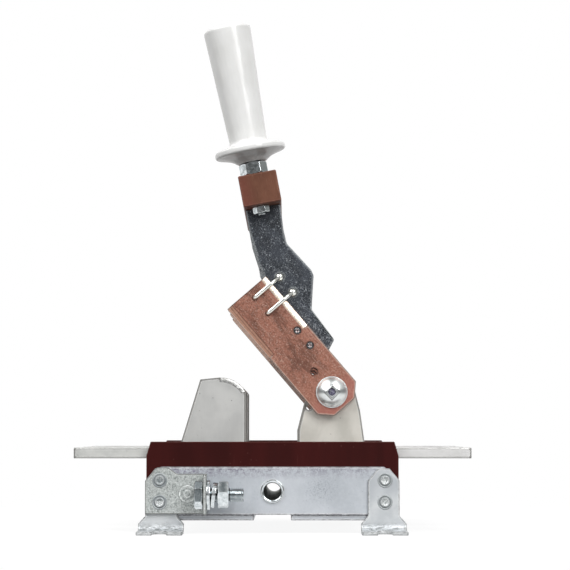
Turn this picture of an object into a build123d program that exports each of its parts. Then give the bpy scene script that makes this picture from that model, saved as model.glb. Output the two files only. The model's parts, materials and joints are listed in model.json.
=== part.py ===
from build123d import *

import os
from math import asin, cos, degrees, radians, sin, sqrt, tan

# Three-pole knife-switch disconnector with a handle at one end of its cross beam.
# X runs along the contacts, from the jaw terminals (-X) to the hinge terminals (+X), Y across the
# poles with the handle at -Y, and Z up. The origin is on the floor under the middle of the frame.
# The knives are drawn partly open.

# Poles, numbered from the handle's side
POLE_COUNT = 3
POLE_PITCH = 65.0

# Sheet steel frame: a side plate over an insulating panel on each long side
PANEL_END_INSET = 0.1
PANEL_TOP_Z = 62.2
PANEL_THICKNESS = 6.0
PANEL_CHAMFER_X = 2.8
PANEL_CHAMFER_Z = 9.6
PANEL_END_GAP = 4.5
PLATE_LENGTH = 172.0
PLATE_BOTTOM_Z = 12.7
PLATE_TOP_Z = 45.2
PLATE_THICKNESS = 2.5
PLATE_CHAMFER_X = 10.0
PLATE_CHAMFER_Z = 9.0

# Cross channels and the insulating beams that stand in them
CHANNEL_CENTRE_X = 38.65
CHANNEL_WIDTH = 52.1
CHANNEL_BASE = 3.8
CHANNEL_LEG = 3.0
CHANNEL_LEG_TOP_Z = 30.0
CHANNEL_RECESS = 1.5

# Contacts: a terminal bar with an upright post in its middle
BAR_WIDTH = 40.0
BAR_THICKNESS = 7.3
BAR_BOTTOM_Z = 50.7
BAR_EDGE_RADIUS = 1.0
TERMINAL_REACH = 136.5
TERMINAL_HOLE_RADIUS = 5.5
TERMINAL_HOLE_INSET = 18.5
POST_THICKNESS = 10.0
JAW_INNER_X = 18.9
JAW_FOOT_X = 64.8
JAW_SHOULDER_X = 50.4
JAW_SHOULDER_Z = 105.2
JAW_PEAK_X = 36.6
JAW_PEAK_Z = 106.6
JAW_NOSE_Z = 97.0
JAW_LEAD_IN = 3.3
JAW_LEAD_DEPTH = 1.6
HINGE_INNER_X = 17.7
HINGE_FOOT_X = 64.2
HINGE_WAIST_Z = 70.0
HINGE_SHOULDER_X = 60.7
HINGE_SHOULDER_Z = 83.0
HINGE_TOP_RADIUS = 16.5
POST_HOLE_X = 25.2
POST_HOLE_Z = 85.8
POST_HOLE_RADIUS = 1.9
SCREW_RADIUS = 4.0
SCREW_HEAD_RADIUS = 7.6
SCREW_LENGTH = 30.0
SCREW_FROM_POLE = 12.5
BEAM_SCREW_RADIUS = 3.0
BEAM_SCREW_HEAD_RADIUS = 5.8
BEAM_SCREW_LENGTH = 20.0

# Knives
PIVOT_X = 40.9
PIVOT_Z = 96.3
KNIFE_ANGLE = 130.6
KNIFE_REACH = 90.9
KNIFE_TAIL = 13.5
KNIFE_WIDTH = 35.2
KNIFE_THICKNESS = 5.0
KNIFE_TAIL_CHAMFER = 8.3
KNIFE_BEVEL_WIDTH = 4.2
KNIFE_BEVEL_DEPTH = 2.2
KNIFE_BEVEL_FROM = 46.2
KNIFE_HOLE_AT = 18.8
KNIFE_HOLE_RADIUS = 2.4
SLIDE_GAP = 0.3

# Pivot pins with domed ends
PIN_RADIUS = 6.0
PIN_CLEARANCE = 0.05
DOME_RADIUS = 10.95
DOME_RIM = 1.2
DOME_HEIGHT = 5.2
BOSS_SIDE = 8.0
BOSS_HEIGHT = 0.9
BOSS_RECESS_RADIUS = 2.6
BOSS_RECESS_DEPTH = 0.6

# Rivets that hold the knives to the lever
RIVET_RADIUS = 2.5
RIVET_REACH = 34.4
RIVET_SPACING = 13.5
RIVET_OFF_AXIS = 9.7
RIVET_DIMPLE_RADIUS = 1.5
RIVET_DIMPLE_DEPTH = 0.8

# Spring clips across the knives
CLIP_WIRE_RADIUS = 1.55
CLIP_REACH = 84.4
CLIP_SPACING = 14.1
CLIP_TIP = 2.1
CLIP_CROWN = 27.5
CLIP_HOLE_DEPTH = 3.0
CLIP_PASS_RADIUS = 2.7
CLIP_PASS_REACH = 25.1
CLIP_BEAD_RADIUS = 3.2
CLIP_BEAD_REACH = 24.6

# Lever arms: reaches run along the knives from the pivot, rises up from their upper edges
ARM_END = 24.4
ARM_END_RISE = 1.6
ARM_STEP = 54.2
ARM_STEP_INNER = 4.0
ARM_INNER = 15.6
ARM_HEEL_REACH = 26.4
ARM_HEEL_RISE = 7.7
ARM_CLIMB_REACH = 52.8
ARM_CLIMB_RISE = 9.4
ARM_BROW_REACH = 69.8
ARM_BROW_RISE = 25.9
ARM_CREST_REACH = 73.7
ARM_CREST_RISE = 27.2
ARM_SADDLE_REACH = 99.1
ARM_SADDLE_RISE = 26.3
ARM_NECK_REACH = 107.7
ARM_NECK_RISE = 30.7
ARM_THROAT_REACH = 122.9
ARM_THROAT_RISE = 12.0
ARM_CHIN_REACH = 107.3
ARM_CHIN_RISE = 5.4
ARM_LIP_REACH = 102.5
ARM_LIP_RISE = 2.4
ARM_TIP_GAP = 2.7
ARM_CORNER_RADIUS = 2.0
ARM_TOP_WIDTH = 24.7
TONGUE_WIDTH = 14.0
TONGUE_HEIGHT = 14.0
TONGUE_CLEARANCE = 0.1
BEAM_PIN_RADIUS = 2.5
FIT_CLEARANCE = 0.05

# Cross beam, placed from the pivot along and across the knives
BEAM_REACH = 138.8
BEAM_RISE = 53.3
HANDLE_LEAN = 29.8
BEAM_WIDTH = 26.7
BEAM_HEIGHT = 21.8
BEAM_FRONT_OVERHANG = 26.0
BEAM_REAR_OVERHANG = 13.0
BEAM_EDGE_CHAMFER = 0.6

# Handle on its stud
HANDLE_FROM_END = 11.0
HANDLE_SHIFT = -1.6
HANDLE_LENGTH = 88.0
GUARD_RADIUS = 24.6
GUARD_RIM_RADIUS = 2.4
GUARD_CONE_TOP = 5.3
GRIP_ROOT_RADIUS = 13.0
GRIP_TOP_RADIUS = 16.6
GRIP_EDGE_RADIUS = 3.0
NECK_RADIUS = 10.1
NECK_DROP = 8.1
NECK_SHOULDER_RADIUS = 14.2
NECK_SHOULDER_DROP = 5.0
STUD_HEX_FLATS = 17.0
STUD_HEX_HEIGHT = 8.9
STUD_TOP_RADIUS = 5.0
STUD_TOP_LENGTH = 25.0
STUD_LOW_RADIUS = 3.0
STUD_END = 1.2
STUD_NUT_FLATS = 10.0
STUD_NUT_HEIGHT = 5.2

# Feet
FOOT_INSET = 10.5
FOOT_THICKNESS = 2.3
FOOT_BEND_RADIUS = 4.5
FOOT_LENGTH = 23.8
FOOT_STRAP_WIDTH = 21.4
FOOT_STRAP_TOP_Z = 44.1
FOOT_ROOF_WIDTH = 7.8
FOOT_ROOF_DROP = 8.1
FOOT_FLANGE_WIDTH = 31.0
FOOT_FLARE_TOP_Z = 12.0
FOOT_FLARE_BOTTOM_Z = 6.8
FOOT_SLOT_WIDTH = 9.6
FOOT_SLOT_DEPTH = 15.5

# Frame rivets
FRAME_RIVET_OFF_CENTRE = 0.8
FRAME_RIVET_RADIUS = 2.5
FRAME_RIVET_TOP_Z = 36.1
FRAME_RIVET_SPACING = 14.8
FRAME_RIVET_HEAD_RADIUS = 3.4
FRAME_RIVET_HEAD = 1.0
FRAME_RIVET_TAIL_RADIUS = 4.5
FRAME_RIVET_TAIL = 1.8
FRAME_RIVET_DIMPLE_RADIUS = 2.0
FRAME_RIVET_DIMPLE_DEPTH = 0.7

# Tie tube
TUBE_Z = 28.6
TUBE_BORE_RADIUS = 5.65
TUBE_WALL = 1.6
TUBE_LIP_RADIUS = 8.0
TUBE_LIP = 1.2

# Earth terminal
EARTH_OVERHANG = 0.2
EARTH_LENGTH = 42.2
EARTH_BOTTOM_Z = 13.5
EARTH_ARM_TOP_Z = 40.5
EARTH_HEAD_TOP_Z = 44.8
EARTH_HEAD_WIDTH = 15.7
EARTH_STEP_WIDTH = 21.6
EARTH_HEAD_CHAMFER_X = 8.0
EARTH_HEAD_CHAMFER_Z = 9.0
EARTH_THICKNESS = 2.3
EARTH_BEND_RADIUS = 0.8
EARTH_TAB_LENGTH = 22.5
EARTH_BOLT_OFFSET = 13.8
EARTH_BOLT_Z = 26.5
EARTH_BOLT_RADIUS = 5.0
EARTH_HOLE_CLEARANCE = 0.4
EARTH_BOLT_FLATS = 16.5
EARTH_HEAD_HEIGHT = 6.3
EARTH_WASHER_RADIUS = 10.0
EARTH_WASHER_THICKNESS = 2.4
SPRING_WASHER_RADIUS = 8.6
SPRING_WASHER_THICKNESS = 2.7
SPRING_WASHER_TILT = 7.0
SPRING_WASHER_SPLIT = 1.6
EARTH_NUT_HEIGHT = 7.8
EARTH_NUT_TURN = 15.0
EARTH_THREAD_END = 10.0

# Hexagons, their corners turned off by a cone down to a share of the flats
HEX_SIDES = 6
HEX_FACE_SHARE = 0.95
HEX_CHAMFER_ANGLE = 30.0

# Worked out from the dimensions above
POLE_YS = [POLE_PITCH * (index - (POLE_COUNT - 1) / 2) for index in range(POLE_COUNT)]
PANEL_LENGTH = PLATE_LENGTH - 2 * PANEL_END_INSET
PANEL_INNER_Y = -POLE_YS[0] + BAR_WIDTH / 2 + PANEL_END_GAP
PLATE_INNER_Y = PANEL_INNER_Y + PANEL_THICKNESS
FOOT_CENTRE_X = PLATE_LENGTH / 2 - FOOT_INSET
FOOT_INNER_Y = PLATE_INNER_Y + PLATE_THICKNESS
FOOT_REACH = FOOT_INNER_Y + FOOT_LENGTH
EARTH_HEAD_LEFT_X = -PLATE_LENGTH / 2 - EARTH_OVERHANG
EARTH_HEAD_RIGHT_X = EARTH_HEAD_LEFT_X + EARTH_HEAD_WIDTH
EARTH_STEP_X = EARTH_HEAD_LEFT_X + EARTH_STEP_WIDTH
EARTH_ARM_INNER_X = EARTH_HEAD_LEFT_X + EARTH_LENGTH
EARTH_TAB_REACH = FOOT_INNER_Y + EARTH_TAB_LENGTH
EARTH_BOLT_Y = -FOOT_INNER_Y - EARTH_BOLT_OFFSET
BAR_TOP_Z = BAR_BOTTOM_Z + BAR_THICKNESS
CHANNEL_BOTTOM_Z = PLATE_BOTTOM_Z - CHANNEL_BASE
TERMINAL_HOLE_X = TERMINAL_REACH - TERMINAL_HOLE_INSET
KNIFE_INNER_Y = POST_THICKNESS / 2 + SLIDE_GAP
KNIFE_OUTER_Y = KNIFE_INNER_Y + KNIFE_THICKNESS
RIVET_XS = (RIVET_REACH, RIVET_REACH + RIVET_SPACING)
CLIP_XS = (CLIP_REACH, CLIP_REACH - CLIP_SPACING)
CLIP_LEG_Y = KNIFE_OUTER_Y + CLIP_WIRE_RADIUS + FIT_CLEARANCE
HANDLE_Y = POLE_YS[0] - BEAM_FRONT_OVERHANG + HANDLE_FROM_END
GUARD_ABOVE_BEAM = BEAM_HEIGHT / 2 + STUD_HEX_HEIGHT + NECK_DROP
TUBE_RADIUS = TUBE_BORE_RADIUS + TUBE_WALL
HEX_CORNER = 1 / cos(radians(180 / HEX_SIDES))

BLADE = Plane(
    origin=(PIVOT_X, 0, PIVOT_Z),
    x_dir=(cos(radians(KNIFE_ANGLE)), 0, sin(radians(KNIFE_ANGLE))),
    z_dir=(0, 1, 0),
)
BEAM_TILT = KNIFE_ANGLE - HANDLE_LEAN - 90
BEAM = Plane(
    origin=BLADE.from_local_coords((BEAM_REACH, BEAM_RISE, 0)),
    x_dir=(cos(radians(BEAM_TILT)), 0, sin(radians(BEAM_TILT))),
    z_dir=(0, -1, 0),
)


def slab(x0, x1, y0, y1, z0, z1):
    """A box between two opposite corners."""
    middle = Pos((x0 + x1) / 2, (y0 + y1) / 2, (z0 + z1) / 2)
    return middle * Box(x1 - x0, y1 - y0, z1 - z0)


def rod_x(y, z, radius, x0, x1):
    """A cylinder along X."""
    return Pos((x0 + x1) / 2, y, z) * Rot(0, 90, 0) * Cylinder(radius, x1 - x0)


def rod_y(x, z, radius, y0, y1):
    """A cylinder along Y."""
    return Pos(x, (y0 + y1) / 2, z) * Rot(90, 0, 0) * Cylinder(radius, y1 - y0)


def plate_xz(face, y0, y1):
    """A plate whose outline is drawn in X and Z, between two depths."""
    return extrude(Plane.XZ.offset(-y1) * face, y1 - y0)


def outline(*points):
    """A face with straight sides."""
    return make_face(Polyline(*points, close=True))


def hexagon_prism(flats, height):
    """A hexagonal prism standing on the origin, its corners turned off at both ends."""
    corner = flats / 2 * HEX_CORNER
    face = flats / 2 * HEX_FACE_SHARE
    drop = (corner - face) * tan(radians(HEX_CHAMFER_ANGLE))
    turned = Pos(0, 0, drop / 2) * Cone(face, corner, drop)
    turned += Pos(0, 0, height / 2) * Cylinder(corner, height - 2 * drop)
    turned += Pos(0, 0, height - drop / 2) * Cone(corner, face, drop)
    return extrude(RegularPolygon(corner, HEX_SIDES), height) & turned


def countersunk_screw(radius, head_radius, length):
    """A flat-headed screw with the top of its head at the origin, pointing down."""
    head_height = head_radius - radius
    head = Pos(0, 0, -head_height / 2) * Cone(radius, head_radius, head_height)
    shank = Pos(0, 0, -(head_height + length) / 2) * Cylinder(radius, length - head_height)
    return head + shank


# --- Frame -----------------------------------------------------------------------------------


def chamfered_strip(length, bottom_z, top_z, chamfer_x, chamfer_z):
    """A strip's face with both top corners cut off."""
    half = length / 2
    return outline(
        (-half, bottom_z),
        (-half, top_z - chamfer_z),
        (-half + chamfer_x, top_z),
        (half - chamfer_x, top_z),
        (half, top_z - chamfer_z),
        (half, bottom_z),
    )


def frame_rivet_places():
    """X and Z of the rivets on one long side."""
    for x_side in (-1, 1):
        for row in range(2):
            x = x_side * (FOOT_CENTRE_X + FRAME_RIVET_OFF_CENTRE)
            yield x, FRAME_RIVET_TOP_Z - row * FRAME_RIVET_SPACING


def side_holes(tube_hole_radius):
    """Cutters for the rivets and the tie tube through both long sides."""
    reach = FOOT_REACH
    cutters = [rod_y(0, TUBE_Z, tube_hole_radius, -reach, reach)]
    for x, z in frame_rivet_places():
        cutters.append(rod_y(x, z, FRAME_RIVET_RADIUS + FIT_CLEARANCE, -reach, reach))
    return cutters


def side_plate(y_side):
    """The steel strip on one long side."""
    face = chamfered_strip(PLATE_LENGTH, PLATE_BOTTOM_Z, PLATE_TOP_Z, PLATE_CHAMFER_X, PLATE_CHAMFER_Z)
    low, high = sorted((y_side * PLATE_INNER_Y, y_side * FOOT_INNER_Y))
    return plate_xz(face, low, high) - side_holes(TUBE_RADIUS + FIT_CLEARANCE)


def insulating_panel(y_side):
    """The insulating panel on one long side."""
    face = chamfered_strip(PANEL_LENGTH, PLATE_BOTTOM_Z, PANEL_TOP_Z, PANEL_CHAMFER_X, PANEL_CHAMFER_Z)
    low, high = sorted((y_side * PANEL_INNER_Y, y_side * PLATE_INNER_Y))
    return plate_xz(face, low, high) - side_holes(TUBE_RADIUS + FIT_CLEARANCE)


def foot(x_side, y_side):
    """A bent foot: a riveted strap, a flared bend and a flange with an open slot."""
    centre_line = FOOT_BEND_RADIUS + FOOT_THICKNESS / 2
    strap_y = FOOT_INNER_Y + FOOT_THICKNESS / 2
    bend = FilletPolyline(
        (strap_y, FOOT_STRAP_TOP_Z),
        (strap_y, FOOT_THICKNESS / 2),
        (FOOT_REACH, FOOT_THICKNESS / 2),
        radius=centre_line,
    )
    section = Plane.YZ * trace(bend, line_width=FOOT_THICKNESS)
    strip = extrude(section, FOOT_FLANGE_WIDTH / 2, both=True)
    strap = FOOT_STRAP_WIDTH / 2
    roof = FOOT_ROOF_WIDTH / 2
    flange = FOOT_FLANGE_WIDTH / 2
    face = outline(
        (-flange, 0),
        (-flange, FOOT_FLARE_BOTTOM_Z),
        (-strap, FOOT_FLARE_TOP_Z),
        (-strap, FOOT_STRAP_TOP_Z - FOOT_ROOF_DROP),
        (-roof, FOOT_STRAP_TOP_Z),
        (roof, FOOT_STRAP_TOP_Z),
        (strap, FOOT_STRAP_TOP_Z - FOOT_ROOF_DROP),
        (strap, FOOT_FLARE_TOP_Z),
        (flange, FOOT_FLARE_BOTTOM_Z),
        (flange, 0),
    )
    strip = strip & plate_xz(face, 0, FOOT_REACH)
    slot_centre = FOOT_REACH - FOOT_SLOT_DEPTH + FOOT_SLOT_WIDTH / 2
    half_slot = FOOT_SLOT_WIDTH / 2
    strip -= slab(-half_slot, half_slot, slot_centre, FOOT_REACH, 0, FOOT_THICKNESS)
    strip -= Pos(0, slot_centre, FOOT_THICKNESS / 2) * Cylinder(half_slot, FOOT_THICKNESS)
    if y_side < 0:
        strip = mirror(strip, Plane.XZ)
    return Pos(x_side * FOOT_CENTRE_X, 0, 0) * strip - side_holes(TUBE_RADIUS)


def frame_rivet(x, z, y_side):
    """A rivet from the inside of a panel to the outside of a foot, or of the earth bracket."""
    under_bracket = y_side < 0 and x < 0
    outer = FOOT_INNER_Y + FOOT_THICKNESS + (EARTH_THICKNESS if under_bracket else 0)
    top = outer + FRAME_RIVET_HEAD
    rivet = rod_y(x, z, FRAME_RIVET_RADIUS, PANEL_INNER_Y, outer)
    rivet += rod_y(x, z, FRAME_RIVET_HEAD_RADIUS, outer, top)
    rivet += rod_y(x, z, FRAME_RIVET_TAIL_RADIUS, PANEL_INNER_Y - FRAME_RIVET_TAIL, PANEL_INNER_Y)
    rivet -= rod_y(x, z, FRAME_RIVET_DIMPLE_RADIUS, top - FRAME_RIVET_DIMPLE_DEPTH, top)
    return mirror(rivet, Plane.XZ) if y_side < 0 else rivet


def frame_rivets(y_side):
    """All rivets of one long side."""
    return Compound([frame_rivet(x, z, y_side) for x, z in frame_rivet_places()])


def tie_tube():
    """The tube across the frame, with a lip against each side plate."""
    tube = rod_y(0, TUBE_Z, TUBE_RADIUS, -FOOT_INNER_Y, FOOT_INNER_Y)
    lip_end = FOOT_INNER_Y + TUBE_LIP
    for y_side in (-1, 1):
        low, high = sorted((y_side * FOOT_INNER_Y, y_side * lip_end))
        tube += rod_y(0, TUBE_Z, TUBE_LIP_RADIUS, low, high)
    return tube - rod_y(0, TUBE_Z, TUBE_BORE_RADIUS, -lip_end, lip_end)


def cross_channel(x_side):
    """A steel channel under the insulating beam, carried by the side plates."""
    half = CHANNEL_WIDTH / 2
    base_y = FOOT_INNER_Y - CHANNEL_RECESS
    channel = slab(-half, half, -base_y, base_y, CHANNEL_BOTTOM_Z, PLATE_BOTTOM_Z)
    for side in (-1, 1):
        low, high = sorted((side * half, side * (half - CHANNEL_LEG)))
        channel += slab(low, high, -PANEL_INNER_Y, PANEL_INNER_Y, PLATE_BOTTOM_Z, CHANNEL_LEG_TOP_Z)
    return Pos(x_side * CHANNEL_CENTRE_X, 0, 0) * channel - beam_screw_cutters()


def insulating_beam(x_side):
    """The insulating beam between the channel's legs, under three contacts."""
    half = CHANNEL_WIDTH / 2 - CHANNEL_LEG
    beam = slab(-half, half, -PANEL_INNER_Y, PANEL_INNER_Y, PLATE_BOTTOM_Z, BAR_BOTTOM_Z)
    beam = Pos(x_side * CHANNEL_CENTRE_X, 0, 0) * beam
    return beam - contact_screw_cutters() - beam_screw_cutters()


def contact_screw_places():
    """X and Y of the screws beside the posts."""
    for x_side in (-1, 1):
        for pole_y in POLE_YS:
            for y_side in (-1, 1):
                yield x_side * CHANNEL_CENTRE_X, pole_y + y_side * SCREW_FROM_POLE


def contact_screw_cutters():
    """Holes for the contact screws."""
    cutter = countersunk_screw(
        SCREW_RADIUS + FIT_CLEARANCE, SCREW_HEAD_RADIUS + FIT_CLEARANCE, SCREW_LENGTH + FIT_CLEARANCE
    )
    return [Pos(x, y, BAR_TOP_Z) * cutter for x, y in contact_screw_places()]


def contact_screws():
    """The screws that hold the contacts on the insulating beams."""
    screw = countersunk_screw(SCREW_RADIUS, SCREW_HEAD_RADIUS, SCREW_LENGTH)
    return Compound([Pos(x, y, BAR_TOP_Z) * screw for x, y in contact_screw_places()])


def beam_screw_places():
    """X and Y of the screws under the channels, between the poles."""
    for x_side in (-1, 1):
        for near, far in zip(POLE_YS, POLE_YS[1:]):
            yield x_side * CHANNEL_CENTRE_X, (near + far) / 2


def beam_screw_cutters():
    """Holes for the beam screws."""
    cutter = countersunk_screw(
        BEAM_SCREW_RADIUS + FIT_CLEARANCE,
        BEAM_SCREW_HEAD_RADIUS + FIT_CLEARANCE,
        BEAM_SCREW_LENGTH + FIT_CLEARANCE,
    )
    return [Pos(x, y, CHANNEL_BOTTOM_Z) * Rot(180, 0, 0) * cutter for x, y in beam_screw_places()]


def beam_screws():
    """The screws that hold the insulating beams in their channels."""
    screw = countersunk_screw(BEAM_SCREW_RADIUS, BEAM_SCREW_HEAD_RADIUS, BEAM_SCREW_LENGTH)
    return Compound([Pos(x, y, CHANNEL_BOTTOM_Z) * Rot(180, 0, 0) * screw for x, y in beam_screw_places()])


# --- Contacts --------------------------------------------------------------------------------


def terminal_bar(inner_x, x_side):
    """The flat bar from under the post to the cable end, on the pole at Y 0."""
    low, high = sorted((x_side * inner_x, x_side * TERMINAL_REACH))
    bar = slab(low, high, -BAR_WIDTH / 2, BAR_WIDTH / 2, BAR_BOTTOM_Z, BAR_TOP_Z)
    bar = fillet(bar.edges().filter_by(Axis.X), BAR_EDGE_RADIUS)
    hole_z = (BAR_BOTTOM_Z + BAR_TOP_Z) / 2
    return bar - Pos(x_side * TERMINAL_HOLE_X, 0, hole_z) * Cylinder(TERMINAL_HOLE_RADIUS, BAR_THICKNESS)


def jaw_post_face():
    """The jaw post's outline: a sloped back, a rounded brow and an upright front."""
    foot_corner = (-JAW_FOOT_X, BAR_TOP_Z)
    shoulder = (-JAW_SHOULDER_X, JAW_SHOULDER_Z)
    peak = (-JAW_PEAK_X, JAW_PEAK_Z)
    nose = (-JAW_INNER_X, JAW_NOSE_Z)
    front_foot = (-JAW_INNER_X, BAR_TOP_Z)
    brow = TangentArc(peak, nose, tangent=(1, 0))
    lines = Polyline(nose, front_foot, foot_corner, shoulder, peak)
    return make_face(Curve() + [brow, lines])


def lead_in_cutter():
    """Cutter for the bevels on both faces of the jaw post's rounded brow."""
    run = JAW_PEAK_X - JAW_INNER_X
    drop = JAW_PEAK_Z - JAW_NOSE_Z
    radius = (run**2 + drop**2) / (2 * drop)
    half = POST_THICKNESS / 2
    section = outline(
        (half, radius - JAW_LEAD_IN),
        (half, radius + JAW_LEAD_IN),
        (half - 2 * JAW_LEAD_DEPTH, radius + JAW_LEAD_IN),
    )
    bevel = revolve(Plane.YZ * section, Axis.Y, degrees(asin(run / radius)))
    bevel += mirror(bevel, Plane.XZ)
    return Pos(-JAW_PEAK_X, 0, JAW_PEAK_Z - radius) * bevel


def jaw_terminal(pole_y):
    """The bar under the jaw post, screwed to its insulating beam."""
    return Pos(0, pole_y, 0) * terminal_bar(JAW_INNER_X, -1) - contact_screw_cutters()


def jaw_post(pole_y):
    """The post brazed on the jaw's bar, which the knives close over."""
    post = plate_xz(jaw_post_face(), -POST_THICKNESS / 2, POST_THICKNESS / 2) - lead_in_cutter()
    return Pos(0, pole_y, 0) * post


def hinge_post_face():
    """The hinge post's outline, rounded about the pivot."""
    left = (PIVOT_X - HINGE_TOP_RADIUS, PIVOT_Z)
    right = (PIVOT_X + HINGE_TOP_RADIUS, PIVOT_Z)
    crown = ThreePointArc(left, (PIVOT_X, PIVOT_Z + HINGE_TOP_RADIUS), right)
    sides = Polyline(
        right,
        (HINGE_SHOULDER_X, HINGE_SHOULDER_Z),
        (HINGE_FOOT_X, BAR_TOP_Z),
        (HINGE_INNER_X, BAR_TOP_Z),
        (HINGE_INNER_X, HINGE_WAIST_Z),
        left,
    )
    return make_face(Curve() + [crown, sides])


def hinge_terminal(pole_y):
    """The bar under the hinge post, screwed to its insulating beam."""
    return Pos(0, pole_y, 0) * terminal_bar(HINGE_INNER_X, 1) - contact_screw_cutters()


def hinge_post(pole_y):
    """The post brazed on the hinge's bar, which carries the pivot pin."""
    half = POST_THICKNESS / 2
    post = plate_xz(hinge_post_face(), -half, half)
    post -= rod_y(PIVOT_X, PIVOT_Z, PIN_RADIUS + PIN_CLEARANCE, -half, half)
    post -= rod_y(POST_HOLE_X, POST_HOLE_Z, POST_HOLE_RADIUS, -half, half)
    return Pos(0, pole_y, 0) * post


# --- Blades ----------------------------------------------------------------------------------
# Pieces of a pole are drawn flat in the blade's plane: X from the pivot to the knife's tip, Y
# across the knife towards the lever, and Z along the pivot. Pole pieces then move to their pole.


def on_blade(piece, pole_y):
    """The piece in the blade's place on the given pole."""
    return Pos(0, pole_y, 0) * (BLADE * piece)


def knife_face():
    """A knife's outline, with both corners cut at the pivot's end."""
    half = KNIFE_WIDTH / 2
    cut = KNIFE_TAIL_CHAMFER
    return outline(
        (KNIFE_REACH, half),
        (KNIFE_REACH, -half),
        (-KNIFE_TAIL + cut, -half),
        (-KNIFE_TAIL, -half + cut),
        (-KNIFE_TAIL, half - cut),
        (-KNIFE_TAIL + cut, half),
    )


def knife_bevel():
    """Cutter for the bevel along one edge of the knife's outer face."""
    half = KNIFE_WIDTH / 2
    section = outline(
        (half - KNIFE_BEVEL_WIDTH, KNIFE_OUTER_Y),
        (half, KNIFE_OUTER_Y),
        (half, KNIFE_OUTER_Y - KNIFE_BEVEL_DEPTH),
    )
    # The section's plane is blade Y and Z, so it runs along blade X.
    return extrude(Plane.YZ.offset(KNIFE_BEVEL_FROM) * section, KNIFE_REACH - KNIFE_BEVEL_FROM)


def knife():
    """One knife, on the side of blade +Z."""
    blade = extrude(Plane.XY.offset(KNIFE_INNER_Y) * knife_face(), KNIFE_THICKNESS)
    middle_z = (KNIFE_INNER_Y + KNIFE_OUTER_Y) / 2
    blade -= Pos(0, 0, middle_z) * Cylinder(PIN_RADIUS + PIN_CLEARANCE, KNIFE_THICKNESS)
    blade -= Pos(KNIFE_HOLE_AT, 0, middle_z) * Cylinder(KNIFE_HOLE_RADIUS, KNIFE_THICKNESS)
    for x in RIVET_XS:
        blade -= Pos(x, RIVET_OFF_AXIS, middle_z) * Cylinder(RIVET_RADIUS + FIT_CLEARANCE, KNIFE_THICKNESS)
    hole_z = KNIFE_OUTER_Y - CLIP_HOLE_DEPTH / 2
    for x in CLIP_XS:
        blade -= Pos(x, CLIP_TIP, hole_z) * Cylinder(CLIP_WIRE_RADIUS + FIT_CLEARANCE, CLIP_HOLE_DEPTH)
    bevel = knife_bevel()
    return blade - bevel - mirror(bevel, Plane.XZ)


def knives(pole_y):
    """The pair of knives of a pole."""
    far = knife()
    return Compound([on_blade(far, pole_y), on_blade(mirror(far, Plane.XY), pole_y)])


def pivot_pin(pole_y):
    """A pin with a domed washer and a square end on each side."""
    dome_base = KNIFE_OUTER_Y + DOME_RIM
    dome_top = dome_base + DOME_HEIGHT
    ball_radius = (DOME_RADIUS**2 + DOME_HEIGHT**2) / (2 * DOME_HEIGHT)
    ball = Pos(0, 0, dome_top - ball_radius) * Sphere(ball_radius)
    cap = ball & Pos(0, 0, dome_base + DOME_HEIGHT) * Cylinder(DOME_RADIUS, 2 * DOME_HEIGHT)
    rim = Pos(0, 0, KNIFE_OUTER_Y + DOME_RIM / 2) * Cylinder(DOME_RADIUS, DOME_RIM)
    boss_top = dome_top + BOSS_HEIGHT
    boss = Pos(0, 0, (dome_base + boss_top) / 2) * Box(BOSS_SIDE, BOSS_SIDE, boss_top - dome_base)
    end = rim + cap + boss
    end -= Pos(0, 0, boss_top - BOSS_RECESS_DEPTH / 2) * Cylinder(BOSS_RECESS_RADIUS, BOSS_RECESS_DEPTH)
    pin = Cylinder(PIN_RADIUS, 2 * KNIFE_OUTER_Y) + end + mirror(end, Plane.XY)
    return on_blade(pin, pole_y)


def blade_rivets():
    """Every knife rivet, flush with the knives and dimpled at both ends."""
    rivet = Cylinder(RIVET_RADIUS, 2 * KNIFE_OUTER_Y)
    dimple_z = KNIFE_OUTER_Y - RIVET_DIMPLE_DEPTH / 2
    for z_side in (-1, 1):
        rivet -= Pos(0, 0, z_side * dimple_z) * Cylinder(RIVET_DIMPLE_RADIUS, RIVET_DIMPLE_DEPTH)
    pieces = [
        on_blade(Pos(x, RIVET_OFF_AXIS, 0) * rivet, pole_y) for pole_y in POLE_YS for x in RIVET_XS
    ]
    return Compound(pieces)


def spring_clip(blade_x):
    """A wire staple over the knives, its tips hooked in and a bead on each face of the lever."""
    arch_centre = CLIP_CROWN - CLIP_WIRE_RADIUS - CLIP_LEG_Y
    tip_z = KNIFE_OUTER_Y - CLIP_HOLE_DEPTH
    bend = CLIP_LEG_Y - KNIFE_OUTER_Y
    bend_start = KNIFE_OUTER_Y
    leg_start = CLIP_TIP + bend
    near_middle = (CLIP_TIP + bend * (1 - sqrt(0.5)), bend_start + bend * sqrt(0.5))
    half = [
        Line((CLIP_TIP, tip_z), (CLIP_TIP, bend_start)),
        ThreePointArc((CLIP_TIP, bend_start), near_middle, (leg_start, CLIP_LEG_Y)),
        Line((leg_start, CLIP_LEG_Y), (arch_centre, CLIP_LEG_Y)),
    ]
    crown = CenterArc((arch_centre, 0), CLIP_LEG_Y, -90, 180)
    other = [mirror(edge, Plane.XZ) for edge in half]
    flat = Wire([piece.edge() for piece in [*half, crown, *other]])
    path = Plane.YZ.offset(blade_x) * flat
    start = Plane(origin=path @ 0, z_dir=path % 0)
    clip = sweep(start * Circle(CLIP_WIRE_RADIUS), path)
    for x_turn in (0, 180):
        half_bead = Sphere(CLIP_BEAD_RADIUS, arc_size1=0, align=(Align.CENTER, Align.CENTER, Align.MIN))
        on_face = Rot(x_turn, 0, 0) * Pos(0, 0, KNIFE_INNER_Y + FIT_CLEARANCE) * half_bead
        clip += Pos(blade_x, CLIP_BEAD_REACH, 0) * on_face
    return clip


def spring_clips():
    """Every spring clip."""
    return Compound([on_blade(spring_clip(x), pole_y) for pole_y in POLE_YS for x in CLIP_XS])


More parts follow.
